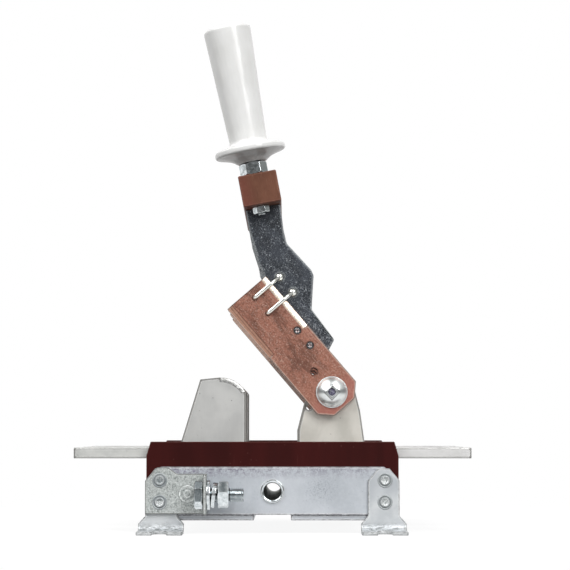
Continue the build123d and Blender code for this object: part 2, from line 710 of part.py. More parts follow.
def arm_corners():
    """The lever's corners in space, from its paddle between the knives up to the cross beam."""
    edge = KNIFE_WIDTH / 2
    back = [
        (ARM_END, ARM_STEP_INNER),
        (ARM_END, edge + ARM_END_RISE),
        (ARM_HEEL_REACH, edge + ARM_HEEL_RISE),
        (ARM_CLIMB_REACH, edge + ARM_CLIMB_RISE),
        (ARM_BROW_REACH, edge + ARM_BROW_RISE),
        (ARM_CREST_REACH, edge + ARM_CREST_RISE),
        (ARM_SADDLE_REACH, edge + ARM_SADDLE_RISE),
        (ARM_NECK_REACH, edge + ARM_NECK_RISE),
    ]
    front = [
        (ARM_THROAT_REACH, edge + ARM_THROAT_RISE),
        (ARM_CHIN_REACH, edge + ARM_CHIN_RISE),
        (ARM_LIP_REACH, edge + ARM_LIP_RISE),
        (KNIFE_REACH + ARM_TIP_GAP, edge),
        (KNIFE_REACH, ARM_INNER),
        (ARM_STEP, ARM_INNER),
        (ARM_STEP, ARM_STEP_INNER),
    ]
    corners = [BLADE.from_local_coords((x, y, 0)) for x, y in back]
    for x in (ARM_TOP_WIDTH / 2, -ARM_TOP_WIDTH / 2):
        corners.append(BEAM.from_local_coords((x, -BEAM_HEIGHT / 2, 0)))
    return corners + [BLADE.from_local_coords((x, y, 0)) for x, y in front]


def under_cross_beam(edge):
    """Whether an edge lies below the cross beam's underside."""
    return BEAM.to_local_coords(edge.center()).Y < -BEAM_HEIGHT / 2 - FIT_CLEARANCE


def lever_arm(pole_y):
    """A lever between the knives of a pole, with a tongue for the cross beam."""
    face = make_face(Polyline(*arm_corners(), close=True))
    arm = extrude(face, KNIFE_INNER_Y, both=True, dir=(0, 1, 0))
    arm = fillet(arm.edges().filter_by(Axis.Y).filter_by(under_cross_beam), ARM_CORNER_RADIUS)
    tongue = TONGUE_WIDTH / 2
    foot_y = -BEAM_HEIGHT / 2
    arm += BEAM * slab(
        -tongue, tongue, foot_y, foot_y + TONGUE_HEIGHT, -KNIFE_INNER_Y, KNIFE_INNER_Y
    )
    for x in CLIP_XS:
        arm -= BLADE * Pos(x, CLIP_PASS_REACH, 0) * Cylinder(CLIP_PASS_RADIUS, 2 * KNIFE_INNER_Y)
    for x in RIVET_XS:
        arm -= BLADE * Pos(x, RIVET_OFF_AXIS, 0) * Cylinder(RIVET_RADIUS + FIT_CLEARANCE, 2 * KNIFE_INNER_Y)
    return Pos(0, pole_y, 0) * arm - beam_pin_cutters()


def beam_pin(pole_y, radius):
    """A pin across the cross beam, through a lever's tongue."""
    pin_z = -BEAM_HEIGHT / 2 + TONGUE_HEIGHT / 2
    return BEAM * Pos(0, pin_z, -pole_y) * Rot(0, 90, 0) * Cylinder(radius, BEAM_WIDTH)


def beam_pin_cutters():
    """Holes for the pins across the cross beam."""
    return [beam_pin(pole_y, BEAM_PIN_RADIUS + FIT_CLEARANCE) for pole_y in POLE_YS]


def beam_pins():
    """The pins that hold the levers in the cross beam."""
    return Compound([beam_pin(pole_y, BEAM_PIN_RADIUS) for pole_y in POLE_YS])


def handle_axis():
    """The handle's axis on the cross beam: beam X and the distance towards -Y."""
    return HANDLE_SHIFT, -HANDLE_Y


def cross_beam():
    """The insulating bar that ties the levers, with a mortise for each tongue."""
    near = -POLE_YS[0] + BEAM_FRONT_OVERHANG
    far = -POLE_YS[-1] - BEAM_REAR_OVERHANG
    beam = slab(-BEAM_WIDTH / 2, BEAM_WIDTH / 2, -BEAM_HEIGHT / 2, BEAM_HEIGHT / 2, far, near)
    beam = chamfer(beam.edges(), BEAM_EDGE_CHAMFER)
    half_width = TONGUE_WIDTH / 2 + TONGUE_CLEARANCE
    half_depth = KNIFE_INNER_Y + TONGUE_CLEARANCE
    top = -BEAM_HEIGHT / 2 + TONGUE_HEIGHT + TONGUE_CLEARANCE
    mortise = slab(-half_width, half_width, -BEAM_HEIGHT / 2, top, -half_depth, half_depth)
    for pole_y in POLE_YS:
        beam -= Pos(0, 0, -pole_y) * mortise
    x, z = handle_axis()
    beam -= Pos(x, 0, z) * Rot(90, 0, 0) * Cylinder(STUD_LOW_RADIUS + FIT_CLEARANCE, BEAM_HEIGHT)
    return BEAM * beam - beam_pin_cutters()


def handle():
    """The handle: a tapered grip over a round guard and a short neck."""
    rim_x = GUARD_RADIUS - GUARD_RIM_RADIUS
    rim_low = (rim_x, -GUARD_RIM_RADIUS)
    rim_high = (rim_x, GUARD_RIM_RADIUS)
    edge_low = (GRIP_TOP_RADIUS, HANDLE_LENGTH - GRIP_EDGE_RADIUS)
    edge_high = (GRIP_TOP_RADIUS - GRIP_EDGE_RADIUS, HANDLE_LENGTH)
    under = Polyline(
        (0, -NECK_DROP), (NECK_RADIUS, -NECK_DROP), (NECK_SHOULDER_RADIUS, -NECK_SHOULDER_DROP), rim_low
    )
    rim = ThreePointArc(rim_low, (GUARD_RADIUS, 0), rim_high)
    side = Polyline(rim_high, (GRIP_ROOT_RADIUS, GUARD_CONE_TOP), edge_low)
    edge = RadiusArc(edge_low, edge_high, -GRIP_EDGE_RADIUS)
    close = Polyline(edge_high, (0, HANDLE_LENGTH), (0, -NECK_DROP))
    body = revolve(make_face(Curve() + [under, rim, side, edge, close]), Axis.Y)
    bore_length = STUD_TOP_LENGTH + FIT_CLEARANCE
    bore = Pos(0, -NECK_DROP + bore_length / 2, 0) * Rot(90, 0, 0)
    body -= bore * Cylinder(STUD_TOP_RADIUS + FIT_CLEARANCE, bore_length)
    x, z = handle_axis()
    return BEAM * Pos(x, GUARD_ABOVE_BEAM, z) * body


def on_stud(piece, beam_y):
    """The piece, drawn upright on the origin, on the stud's axis at a height over the beam's centre."""
    x, z = handle_axis()
    return BEAM * Pos(x, beam_y, z) * Rot(-90, 0, 0) * piece


def handle_stud():
    """The stud: a thick end in the handle, a hexagon on the beam and a thin end through the beam."""
    top = BEAM_HEIGHT / 2
    low_length = BEAM_HEIGHT + STUD_NUT_HEIGHT + STUD_END
    low = Pos(0, 0, low_length / 2) * Cylinder(STUD_LOW_RADIUS, low_length)
    high = Pos(0, 0, STUD_TOP_LENGTH / 2) * Cylinder(STUD_TOP_RADIUS, STUD_TOP_LENGTH)
    stud = on_stud(low, top - low_length) + on_stud(hexagon_prism(STUD_HEX_FLATS, STUD_HEX_HEIGHT), top)
    return stud + on_stud(high, top + STUD_HEX_HEIGHT)


def stud_nut():
    """The nut under the cross beam."""
    nut = hexagon_prism(STUD_NUT_FLATS, STUD_NUT_HEIGHT)
    nut -= Pos(0, 0, STUD_NUT_HEIGHT / 2) * Cylinder(STUD_LOW_RADIUS + FIT_CLEARANCE, STUD_NUT_HEIGHT)
    return on_stud(nut, -BEAM_HEIGHT / 2 - STUD_NUT_HEIGHT)


# --- Earth terminal --------------------------------------------------------------------------


def earth_bracket():
    """The bracket riveted over the front left foot, with a tab bent outwards for the earth bolt."""
    inner_y = -FOOT_INNER_Y - FOOT_THICKNESS
    centre_line = EARTH_BEND_RADIUS + EARTH_THICKNESS / 2
    bend = FilletPolyline(
        (EARTH_HEAD_LEFT_X, inner_y - EARTH_THICKNESS / 2),
        (EARTH_ARM_INNER_X - EARTH_THICKNESS / 2, inner_y - EARTH_THICKNESS / 2),
        (EARTH_ARM_INNER_X - EARTH_THICKNESS / 2, -EARTH_TAB_REACH),
        radius=centre_line,
    )
    strip = extrude(trace(bend, line_width=EARTH_THICKNESS), EARTH_HEAD_TOP_Z)
    face = outline(
        (EARTH_HEAD_LEFT_X, EARTH_BOTTOM_Z),
        (EARTH_HEAD_LEFT_X, EARTH_HEAD_TOP_Z - EARTH_HEAD_CHAMFER_Z),
        (EARTH_HEAD_LEFT_X + EARTH_HEAD_CHAMFER_X, EARTH_HEAD_TOP_Z),
        (EARTH_HEAD_RIGHT_X, EARTH_HEAD_TOP_Z),
        (EARTH_STEP_X, EARTH_ARM_TOP_Z),
        (EARTH_ARM_INNER_X, EARTH_ARM_TOP_Z),
        (EARTH_ARM_INNER_X, EARTH_BOTTOM_Z),
    )
    bracket = strip & plate_xz(face, -EARTH_TAB_REACH, inner_y)
    bracket -= side_holes(TUBE_RADIUS)
    hole_radius = EARTH_BOLT_RADIUS + EARTH_HOLE_CLEARANCE
    tab_x = EARTH_ARM_INNER_X - EARTH_THICKNESS
    return bracket - rod_x(EARTH_BOLT_Y, EARTH_BOLT_Z, hole_radius, tab_x, EARTH_ARM_INNER_X)


def on_earth_axis(piece, x):
    """The piece, drawn upright on the origin, lying along the earth bolt from the given X."""
    return Pos(x, EARTH_BOLT_Y, EARTH_BOLT_Z) * Rot(0, 90, 0) * piece


def spring_washer_length():
    """The length that the tilted spring washer takes up along the bolt."""
    tilt = radians(SPRING_WASHER_TILT)
    return SPRING_WASHER_THICKNESS * cos(tilt) + 2 * SPRING_WASHER_RADIUS * sin(tilt)


def earth_nut_x():
    """X of the nut's face on the spring washer."""
    return EARTH_ARM_INNER_X + EARTH_WASHER_THICKNESS + spring_washer_length()


def earth_bolt():
    """The hexagon bolt through the tab."""
    head_x = EARTH_ARM_INNER_X - EARTH_THICKNESS - EARTH_HEAD_HEIGHT
    end_x = earth_nut_x() + EARTH_NUT_HEIGHT + EARTH_THREAD_END
    bolt = on_earth_axis(hexagon_prism(EARTH_BOLT_FLATS, EARTH_HEAD_HEIGHT), head_x)
    return bolt + rod_x(EARTH_BOLT_Y, EARTH_BOLT_Z, EARTH_BOLT_RADIUS, head_x, end_x)


def earth_washer():
    """The plain washer."""
    half = EARTH_WASHER_THICKNESS / 2
    ring = Cylinder(EARTH_WASHER_RADIUS, 2 * half)
    ring -= Cylinder(EARTH_BOLT_RADIUS + EARTH_HOLE_CLEARANCE, 2 * half)
    return on_earth_axis(Pos(0, 0, half) * ring, EARTH_ARM_INNER_X)


def earth_spring_washer():
    """The split spring washer, sprung out of flat, so that it leans between washer and nut."""
    ring = Cylinder(SPRING_WASHER_RADIUS, SPRING_WASHER_THICKNESS)
    ring -= Cylinder(EARTH_BOLT_RADIUS + EARTH_HOLE_CLEARANCE, SPRING_WASHER_THICKNESS)
    half = SPRING_WASHER_SPLIT / 2
    reach = SPRING_WASHER_RADIUS
    ring -= slab(-half, half, 0, reach, -SPRING_WASHER_THICKNESS, SPRING_WASHER_THICKNESS)
    ring = Rot(0, SPRING_WASHER_TILT, 0) * ring
    start_x = EARTH_ARM_INNER_X + EARTH_WASHER_THICKNESS
    return on_earth_axis(ring, start_x + spring_washer_length() / 2)


def earth_nut():
    """The nut that clamps the earth lead."""
    nut = hexagon_prism(EARTH_BOLT_FLATS, EARTH_NUT_HEIGHT)
    bore = Cylinder(EARTH_BOLT_RADIUS + FIT_CLEARANCE, EARTH_NUT_HEIGHT)
    nut = Rot(0, 0, EARTH_NUT_TURN) * (nut - Pos(0, 0, EARTH_NUT_HEIGHT / 2) * bore)
    return on_earth_axis(nut, earth_nut_x())


# --- Nodes -----------------------------------------------------------------------------------


def nodes():
    """Every named piece of the switch."""
    pieces = {}
    for side_name, y_side in (("front", -1), ("rear", 1)):
        pieces[f"side_plate_{side_name}"] = side_plate(y_side)
        pieces[f"insulating_panel_{side_name}"] = insulating_panel(y_side)
        pieces[f"frame_rivets_{side_name}"] = frame_rivets(y_side)
        for end_name, x_side in (("left", -1), ("right", 1)):
            pieces[f"foot_{side_name}_{end_name}"] = foot(x_side, y_side)
    for end_name, x_side in (("left", -1), ("right", 1)):
        pieces[f"cross_channel_{end_name}"] = cross_channel(x_side)
        pieces[f"insulating_beam_{end_name}"] = insulating_beam(x_side)
    pieces["tie_tube"] = tie_tube()
    pieces["contact_screws"] = contact_screws()
    pieces["beam_screws"] = beam_screws()
    for number, pole_y in enumerate(POLE_YS, start=1):
        pieces[f"jaw_terminal_{number}"] = jaw_terminal(pole_y)
        pieces[f"jaw_post_{number}"] = jaw_post(pole_y)
        pieces[f"hinge_terminal_{number}"] = hinge_terminal(pole_y)
        pieces[f"hinge_post_{number}"] = hinge_post(pole_y)
        pieces[f"knives_{number}"] = knives(pole_y)
        pieces[f"pivot_pin_{number}"] = pivot_pin(pole_y)
        pieces[f"lever_arm_{number}"] = lever_arm(pole_y)
    pieces["blade_rivets"] = blade_rivets()
    pieces["spring_clips"] = spring_clips()
    pieces["cross_beam"] = cross_beam()
    pieces["beam_pins"] = beam_pins()
    pieces["handle"] = handle()
    pieces["handle_stud"] = handle_stud()
    pieces["stud_nut"] = stud_nut()
    pieces["earth_bracket"] = earth_bracket()
    pieces["earth_bolt"] = earth_bolt()
    pieces["earth_washer"] = earth_washer()
    pieces["earth_spring_washer"] = earth_spring_washer()
    pieces["earth_nut"] = earth_nut()
    return pieces


os.makedirs("parts", exist_ok=True)
for name, piece in nodes().items():
    export_step(piece, f"parts/{name}.step")
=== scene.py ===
import json
import math

import bmesh
import bpy
from mathutils import Matrix, Vector

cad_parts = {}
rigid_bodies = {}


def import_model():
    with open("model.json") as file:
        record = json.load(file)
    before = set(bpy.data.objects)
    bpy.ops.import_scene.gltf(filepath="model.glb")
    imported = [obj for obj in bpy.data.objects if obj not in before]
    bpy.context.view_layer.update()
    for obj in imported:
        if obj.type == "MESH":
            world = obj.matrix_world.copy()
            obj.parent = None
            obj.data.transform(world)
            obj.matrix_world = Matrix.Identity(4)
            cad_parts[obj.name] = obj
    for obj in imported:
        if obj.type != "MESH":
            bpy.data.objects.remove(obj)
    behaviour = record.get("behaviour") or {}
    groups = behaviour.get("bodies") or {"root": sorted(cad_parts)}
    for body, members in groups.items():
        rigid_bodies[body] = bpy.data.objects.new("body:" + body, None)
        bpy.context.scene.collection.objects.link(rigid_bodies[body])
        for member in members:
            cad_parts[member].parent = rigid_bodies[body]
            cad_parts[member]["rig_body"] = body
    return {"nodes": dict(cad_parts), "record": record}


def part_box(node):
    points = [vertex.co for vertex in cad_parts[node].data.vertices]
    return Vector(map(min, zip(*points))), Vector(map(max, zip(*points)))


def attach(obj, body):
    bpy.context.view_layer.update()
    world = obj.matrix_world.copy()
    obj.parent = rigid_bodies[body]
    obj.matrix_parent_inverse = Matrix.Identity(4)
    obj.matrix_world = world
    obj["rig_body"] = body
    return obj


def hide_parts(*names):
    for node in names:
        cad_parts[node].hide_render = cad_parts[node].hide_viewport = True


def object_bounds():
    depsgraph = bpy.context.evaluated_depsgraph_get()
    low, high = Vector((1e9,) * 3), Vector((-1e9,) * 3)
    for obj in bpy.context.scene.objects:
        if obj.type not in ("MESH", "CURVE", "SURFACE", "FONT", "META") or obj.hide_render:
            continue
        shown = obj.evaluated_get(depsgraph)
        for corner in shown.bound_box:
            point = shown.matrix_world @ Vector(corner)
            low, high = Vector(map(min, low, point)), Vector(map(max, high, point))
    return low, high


# Looks of the three-pole knife-switch disconnector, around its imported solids. The profiles and
# the materials are written in millimetres. Places come from the frame and are in metres.
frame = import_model()
cad_low, cad_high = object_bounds()

NODES = frame["nodes"]
SLOT_OF = {part["node"]: part["material_slot"] for part in frame["record"]["subparts"]}
SCENE = bpy.context.scene
MM = 0.001

# Mesh work: steps round a circle, a rounded corner, a bend, an arch and a bead; the distances that
# weld and cut; and the angles up to which faces join, edges stay as they are and faces shade as one
STEPS = 48
EASE_STEPS = 5
BEND_STEPS = 8
ARCH_STEPS = 20
BEAD_STEPS = 12
WELD_DISTANCE = 0.002
CUT_DISTANCE = 0.01
JOINED_ANGLE = 0.6
SHARP_ANGLE = 28.0
SMOOTH_LIMIT = math.cos(math.radians(35))

# Directions in the XZ plane, in degrees from +X
KNIFE_ANGLE = 130.6
HANDLE_ANGLE = 100.8

# Knives, measured from the pivot: along them, across them towards the lever, and outwards
KNIFE_HALF_WIDTH = 17.6
KNIFE_FACE = 10.3
KNIFE_BEVEL_WIDTH = 4.2
KNIFE_BEVEL_FROM = 46.2

# Pivot pin's ends: a domed washer with a square, recessed top
DOME_RADIUS = 10.1
DOME_FROM = 5.9
DOME_CENTRE = 4.0
DOME_BALL = 12.7
FLANGE_RADIUS = 10.95
FLANGE_TOP = 11.4
BOSS_HALF = 4.0
BOSS_TOP = 17.6
PIN_RADIUS = 6.0
RECESS_RADIUS = 2.75

# Spring clips
CLIP_WIRE_RADIUS = 1.55
CLIP_REACHES = (84.4, 70.3)
CLIP_TIP = 2.1
CLIP_LEG = 11.9
CLIP_ARCH = 14.05
CLIP_HOLE_DEPTH = 3.0
CLIP_BEAD_RADIUS = 3.2
CLIP_BEAD_REACH = 24.6
LEVER_FACE = 5.35
LEVER_HOLE_REACHES = (9.7, 25.1)

# Fasteners
HEX_FACE_SHARE = 0.95
HEX_CHAMFER_ANGLE = 30.0
FRAME_RIVET_HEAD = 1.0
FRAME_RIVET_TAIL = 1.8
RIVET_SHANK_RADIUS = 2.5
TUBE_AXIS_Z = 28.6
TUBE_BORE = 5.65
THREAD_DEPTH_SHARE = 0.6
THREAD_ROWS = 8
BOLT_RADIUS = 5.0
BOLT_PITCH = 1.5
BOLT_HEAD_FLATS = 16.5
BOLT_HEAD_HEIGHT = 6.3
NUT_TURN = 15.0
STUD_FLATS = 17.0
STUD_HEX_HEIGHT = 8.9
STUD_TOP_LENGTH = 25.0
STUD_RADIUS = 3.0
STUD_PITCH = 1.0
NUT_FLATS = 10.0
SLOT_WIDTH = 1.6
SLOT_DEPTH = 2.0
SLOT_TURN = 67.0

# Handle, measured from the middle of its guard
NECK_DROP = 8.1
NECK_RADIUS = 10.1
GUARD_RADIUS = 24.6
GUARD_HALF = 2.1
GRIP_FOOT_RADIUS = 13.0
GRIP_TOP_RADIUS = 16.6
HANDLE_LENGTH = 88.0

# Where the materials change: heights, and places in X and Z, of stains, scuffs, pressed marks and painted
# shade
BARS_TOP = 60.0
CONTACT_SCREW_HEIGHTS = (58.0, 92.0)
KNIFE_RIVET_HEIGHTS = (105.0, 210.0)
STUD_HEIGHT = 215.0
JAW_BEVEL_HEIGHT = 80.0
PLATE_STAIN_HEIGHTS = (35.0, 44.0)
PLATE_SCUFF = (33.0, 30.0)
FOOT_SHADE_HEIGHTS = (18.0, 30.0)
FOOT_BEND_SHADE_HEIGHT = 3.5
BRACKET_MARK = (-57.5, 27.0)
LEVER_SPECKLE_HEIGHTS = (175.0, 145.0)

# The room: how much light it gives low and high, how the floor shows, and where it turns white
ROOM_LOW = 0.17
ROOM_HIGH = 0.6
FLOOR_HALF = 1.5
FLOOR_PAINT = (0.12, 0.12, 0.12, 1)
FLOOR_GLOW = 0.9
FLOOR_FADE = (0.2, 0.5)
WHITE = (1, 1, 1, 1)

# The photograph's view
CAMERA_PLACE = (0.0099, -1.4757, 0.0701)
CAMERA_LENS = 127.6
CAMERA_RISE = 4.106
CAMERA_TURN = 0.057


def direction(angle):
    """A unit vector in the XZ plane."""
    return Vector((math.cos(math.radians(angle)), 0, math.sin(math.radians(angle))))


UP = Vector((0, 0, 1))
RIGHT = Vector((1, 0, 0))
BACK = Vector((0, 1, 0))
TURNS = [math.tau * step / STEPS for step in range(STEPS)]
ALONG_KNIFE = direction(KNIFE_ANGLE)
ACROSS_KNIFE = direction(KNIFE_ANGLE - 90)
ALONG_HANDLE = direction(HANDLE_ANGLE)
ACROSS_HANDLE = direction(HANDLE_ANGLE - 90)


# --- Mesh helpers ---


def middle(box):
    """The middle of a box given by its corners."""
    return (box[0] + box[1]) / 2


def span(node, along):
    """How far a node reaches along a direction, in metres."""
    reaches = [vertex.co.dot(along) for vertex in NODES[node].data.vertices]
    return min(reaches), max(reaches)


def on_axis(node, along, reach):
    """The point on a node's own axis that lies at a reach along a direction."""
    centre = middle(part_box(node))
    return centre + along * (reach - centre.dot(along))


def solid_boxes(node):
    """The corners of each separate solid in a node."""
    bm = bmesh.new()
    bm.from_mesh(NODES[node].data)
    bmesh.ops.remove_doubles(bm, verts=bm.verts, dist=WELD_DISTANCE * MM)
    waiting = set(bm.verts)
    boxes = []
    while waiting:
        edge_of_fill = [waiting.pop()]
        points = []
        while edge_of_fill:
            vertex = edge_of_fill.pop()
            points.append(vertex.co.copy())
            near = {edge.other_vert(vertex) for edge in vertex.link_edges} & waiting
            waiting -= near
            edge_of_fill += near
        low = Vector([min(point[axis] for point in points) for axis in range(3)])
        high = Vector([max(point[axis] for point in points) for axis in range(3)])
        boxes.append((low, high))
    bm.free()
    return sorted(boxes, key=lambda box: tuple(box[0]))


def placed(place, x_dir, z_dir):
    """A matrix with its origin at a place, X along one direction and Z along another."""
    matrix = Matrix((x_dir, z_dir.cross(x_dir), z_dir)).transposed().to_4x4()
    matrix.translation = place
    return matrix


def ring(radius, height, sides=0):
    """Points of a circle about Z, or of a polygon around it with a corner on X."""
    points = []
    for turn in TURNS:
        reach = radius
        if sides:
            wedge = math.tau / sides
            reach /= math.cos(turn % wedge - wedge / 2)
        points.append((reach * math.cos(turn), reach * math.sin(turn), height))
    return points


def skin(rings, place, loop=False):
    """A bmesh over rings of points in millimetres, moved to its place. A ring of one point is a tip."""
    bm = bmesh.new()
    rows = [[bm.verts.new([MM * value for value in point]) for point in points] for points in rings]
    for low, high in zip(rows, rows[1:] + rows[:1] if loop else rows[1:]):
        for step in range(max(len(low), len(high))):
            after = step + 1
            corners = (low[step % len(low)], low[after % len(low)])
            corners += (high[after % len(high)], high[step % len(high)])
            bm.faces.new(list(dict.fromkeys(corners)))
    bm.transform(place)
    return bm


def eased(corners):
    """A profile of (radius, height) points from (radius, height, rounding) corners."""
    points = []
    for index, (radius, height, rounding) in enumerate(corners):
        corner = Vector((radius, height))
        if not rounding:
            points.append(corner)
            continue
        before = Vector(corners[index - 1][:2]) - corner
        after = Vector(corners[(index + 1) % len(corners)][:2]) - corner
        start = corner + before.normalized() * rounding
        end = corner + after.normalized() * rounding
        for step in range(EASE_STEPS + 1):
            part = step / EASE_STEPS
            points.append(start * (1 - part) ** 2 + corner * 2 * part * (1 - part) + end * part**2)
    return points


def lathe(corners, place, loop=False):
    """A solid of revolution from (radius, height, rounding) corners in millimetres."""
    rings = [ring(radius, height) if radius else [(0, 0, height)] for radius, height in eased(corners)]
    return skin(rings, place, loop)


def quarter(steps):
    """Angles from 0 to a right angle, in radians."""
    return [math.radians(90 * step / steps) for step in range(steps + 1)]


def both_ends(half):
    """Corners of a shape with two like ends, from those of its upper end, outermost first."""
    return half + [(radius, -height, rounding) for radius, height, rounding in reversed(half)]


def hexagon(flats, height, place, bore=0.0):
    """A hexagonal head or nut standing at its place, its corners turned off at both ends."""
    rim = flats / 2 * HEX_FACE_SHARE
    slope = math.tan(math.radians(HEX_CHAMFER_ANGLE))
    low = [(x, y, (math.hypot(x, y) - rim) * slope) for x, y, _ in ring(flats / 2, 0, sides=6)]
    high = [(x, y, height - drop) for x, y, drop in low]
    ends = (ring(bore, 0), ring(bore, height)) if bore else ([(0, 0, 0)], [(0, 0, height)])
    return skin([ends[0], ring(rim, 0), low, high, ring(rim, height), ends[1]], place, loop=bool(bore))


def threaded_rod(radius, pitch, low, high, place):
    """A rod about Z with a helical thread that runs out at a chamfered upper end."""
    depth = THREAD_DEPTH_SHARE * pitch
    count = round((high - low) / pitch * THREAD_ROWS)
    rings = [[(0, 0, low)]]
    for row in range(count + 1):
        height = low + (high - low) * row / count
        points = []
        for step, turn in enumerate(TURNS):
            phase = (height / pitch - step / STEPS) % 1
            reach = radius - depth * abs(2 * phase - 1)
            reach = min(reach, radius - depth + high - height)
            points.append((reach * math.cos(turn), reach * math.sin(turn), height))
        rings.append(points)
    rings.append([(0, 0, high)])
    return skin(rings, place)


def wire(path, radius, place):
    """A round wire along points in the local XY plane, in millimetres."""
    rings = []
    for index, point in enumerate(path):
        before = path[max(index - 1, 0)]
        after = path[min(index + 1, len(path) - 1)]
        side = (after - before).normalized().orthogonal()
        points = []
        for turn in TURNS:
            across = point + side * radius * math.cos(turn)
            points.append((across.x, across.y, radius * math.sin(turn)))
        rings.append(points)
    ends = [[(point.x, point.y, 0)] for point in (path[0], path[-1])]
    return skin([ends[0], *rings, ends[1]], place)


def in_scene(name, data):
    """A new object in the scene, of a mesh, lamp or camera."""
    made = bpy.data.objects.new(name, data)
    SCENE.collection.objects.link(made)
    return made


def mesh_of(*parts):
    """One mesh of several bmeshes, with its normals outwards."""
    whole = bmesh.new()
    for part in parts:
        bmesh.ops.recalc_face_normals(part, faces=part.faces)
        if part.calc_volume(signed=True) < 0:
            bmesh.ops.reverse_faces(part, faces=part.faces)
        piece = bpy.data.meshes.new("part")
        part.to_mesh(piece)
        part.free()
        whole.from_mesh(piece)
        bpy.data.meshes.remove(piece)
    mesh = bpy.data.meshes.new("piece")
    whole.to_mesh(mesh)
    whole.free()
    return mesh


def with_mesh(mesh, *parts):
    """A mesh with more bmeshes added to it."""
    bm = bmesh.new()
    bm.from_mesh(mesh)
    return mesh_of(bm, *parts)


def modified(mesh, kind, **settings):
    """The mesh with one modifier applied."""
    helper = in_scene("helper", mesh)
    modifier = helper.modifiers.new("change", kind)
    for name, value in settings.items():
        setattr(modifier, name, value)
    graph = bpy.context.evaluated_depsgraph_get()
    result = bpy.data.meshes.new_from_object(helper.evaluated_get(graph))
    bpy.data.objects.remove(helper)
    return result


def rounded(mesh, width):
    """The mesh with its edges rounded over a width in millimetres."""
    result = modified(
        mesh,
        "BEVEL",
        width=width * MM,
        segments=2,
        limit_method="ANGLE",
        angle_limit=math.radians(SHARP_ANGLE),
        use_clamp_overlap=False,
    )
    return shaded(result)


def shaded(mesh):
    """The mesh with smooth shading that its larger faces lead, apart from its sharp edges."""
    around = [[] for _ in mesh.vertices]
    for polygon in mesh.polygons:
        polygon.use_smooth = True
        for vertex in polygon.vertices:
            around[vertex].append((polygon.normal.copy(), polygon.area))
    normals = []
    for polygon in mesh.polygons:
        own = polygon.normal.copy()
        for vertex in polygon.vertices:
            near = [normal * area for normal, area in around[vertex] if normal.dot(own) > SMOOTH_LIMIT]
            normals.append(sum(near, Vector()).normalized())
    mesh.normals_split_custom_set(normals)
    return mesh


def clean_copy(node, cuts=()):
    """A node's mesh with whole faces instead of its triangles, apart from cuts through its holes."""
    bm = bmesh.new()
    bm.from_mesh(NODES[node].data)
    bmesh.ops.remove_doubles(bm, verts=bm.verts, dist=WELD_DISTANCE * MM)
    for place, across in cuts:
        found = bmesh.ops.bisect_plane(
            bm,
            geom=bm.verts[:] + bm.edges[:] + bm.faces[:],
            dist=CUT_DISTANCE * MM,
            plane_co=place,
            plane_no=across,
        )
        for edge in found["geom_cut"]:
            if isinstance(edge, bmesh.types.BMEdge):
                edge.seam = True
    bmesh.ops.dissolve_limit(
        bm,
        angle_limit=math.radians(JOINED_ANGLE),
        verts=bm.verts,
        edges=bm.edges,
        delimit={"NORMAL", "SEAM"},
    )
    return mesh_of(bm)


# --- Pieces ---

# How far the edges of each kind of piece are rounded, in millimetres
EDGE_WIDTHS = {
    "side_plate": 0.4,
    "insulating_panel": 0.5,
    "insulating_beam": 0.5,
    "foot": 0.45,
    "cross_channel": 0.5,
    "jaw": 0.35,
    "hinge": 0.35,
    "contact_screws": 0.2,
    "beam_screws": 0.2,
    "knives": 0.3,
    "lever_arm": 0.9,
    "cross_beam": 0.2,
    "beam_pins": 0.3,
    "handle_stud": 0.35,
    "stud_nut": 0.25,
    "earth_bracket": 0.3,
    "earth_bolt": 0.4,
    "earth_nut": 0.4,
    "earth_washer": 0.5,
    "earth_spring_washer": 0.3,
}


def kind_of(node, kinds):
    """The longest of the kinds that the node's name starts with, or None."""
    return max((kind for kind in kinds if node.startswith(kind)), key=len, default=None)


def edge_width(node):
    """How far the node's edges are rounded."""
    return EDGE_WIDTHS[kind_of(node, EDGE_WIDTHS)]


def softened(node):
    """A plate, bar or sheet with its edges rounded."""
    return rounded(clean_copy(node), edge_width(node))


def lever_arm(node):
    """A lever between its knives, its edges rounded."""
    pivot = middle(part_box(node.replace("lever_arm", "pivot_pin")))
    cuts = [(pivot + ACROSS_KNIFE * reach * MM, ACROSS_KNIFE) for reach in LEVER_HOLE_REACHES]
    return rounded(clean_copy(node, cuts), edge_width(node))


def handle(node):
    """The grip over its guard, turned in one piece."""
    place = on_axis("stud_nut", ALONG_HANDLE, span(node, ALONG_HANDLE)[0] + NECK_DROP * MM)
    corners = [
        (0, -NECK_DROP, 0),
        (NECK_RADIUS, -NECK_DROP, 0.6),
        (NECK_RADIUS + 4.1, -5.0, 2.4),
        (GUARD_RADIUS - 2.2, -GUARD_HALF - 0.4, 1.0),
        (GUARD_RADIUS, -GUARD_HALF, 1.6),
        (GUARD_RADIUS, GUARD_HALF, 1.6),
        (GUARD_RADIUS - 2.4, GUARD_HALF + 0.4, 1.0),
        (GRIP_FOOT_RADIUS, 5.3, 2.6),
        (GRIP_TOP_RADIUS, HANDLE_LENGTH, 2.8),
        (0, HANDLE_LENGTH, 0),
    ]
    return shaded(mesh_of(lathe(corners, placed(place, BACK, ALONG_HANDLE))))


def handle_stud(node):
    """The stud's hexagon and its threaded end, which comes out under the nut."""
    low, high = span(node, ALONG_HANDLE)
    foot = high - (STUD_TOP_LENGTH + STUD_HEX_HEIGHT) * MM
    start = on_axis("stud_nut", ALONG_HANDLE, foot)
    place = placed(start, ACROSS_HANDLE, ALONG_HANDLE)
    head = rounded(mesh_of(hexagon(STUD_FLATS, STUD_HEX_HEIGHT, place)), edge_width(node))
    end = placed(start, ACROSS_HANDLE, -ALONG_HANDLE)
    rod = threaded_rod(STUD_RADIUS, STUD_PITCH, 0, (foot - low) / MM, end)
    return shaded(with_mesh(head, rod))


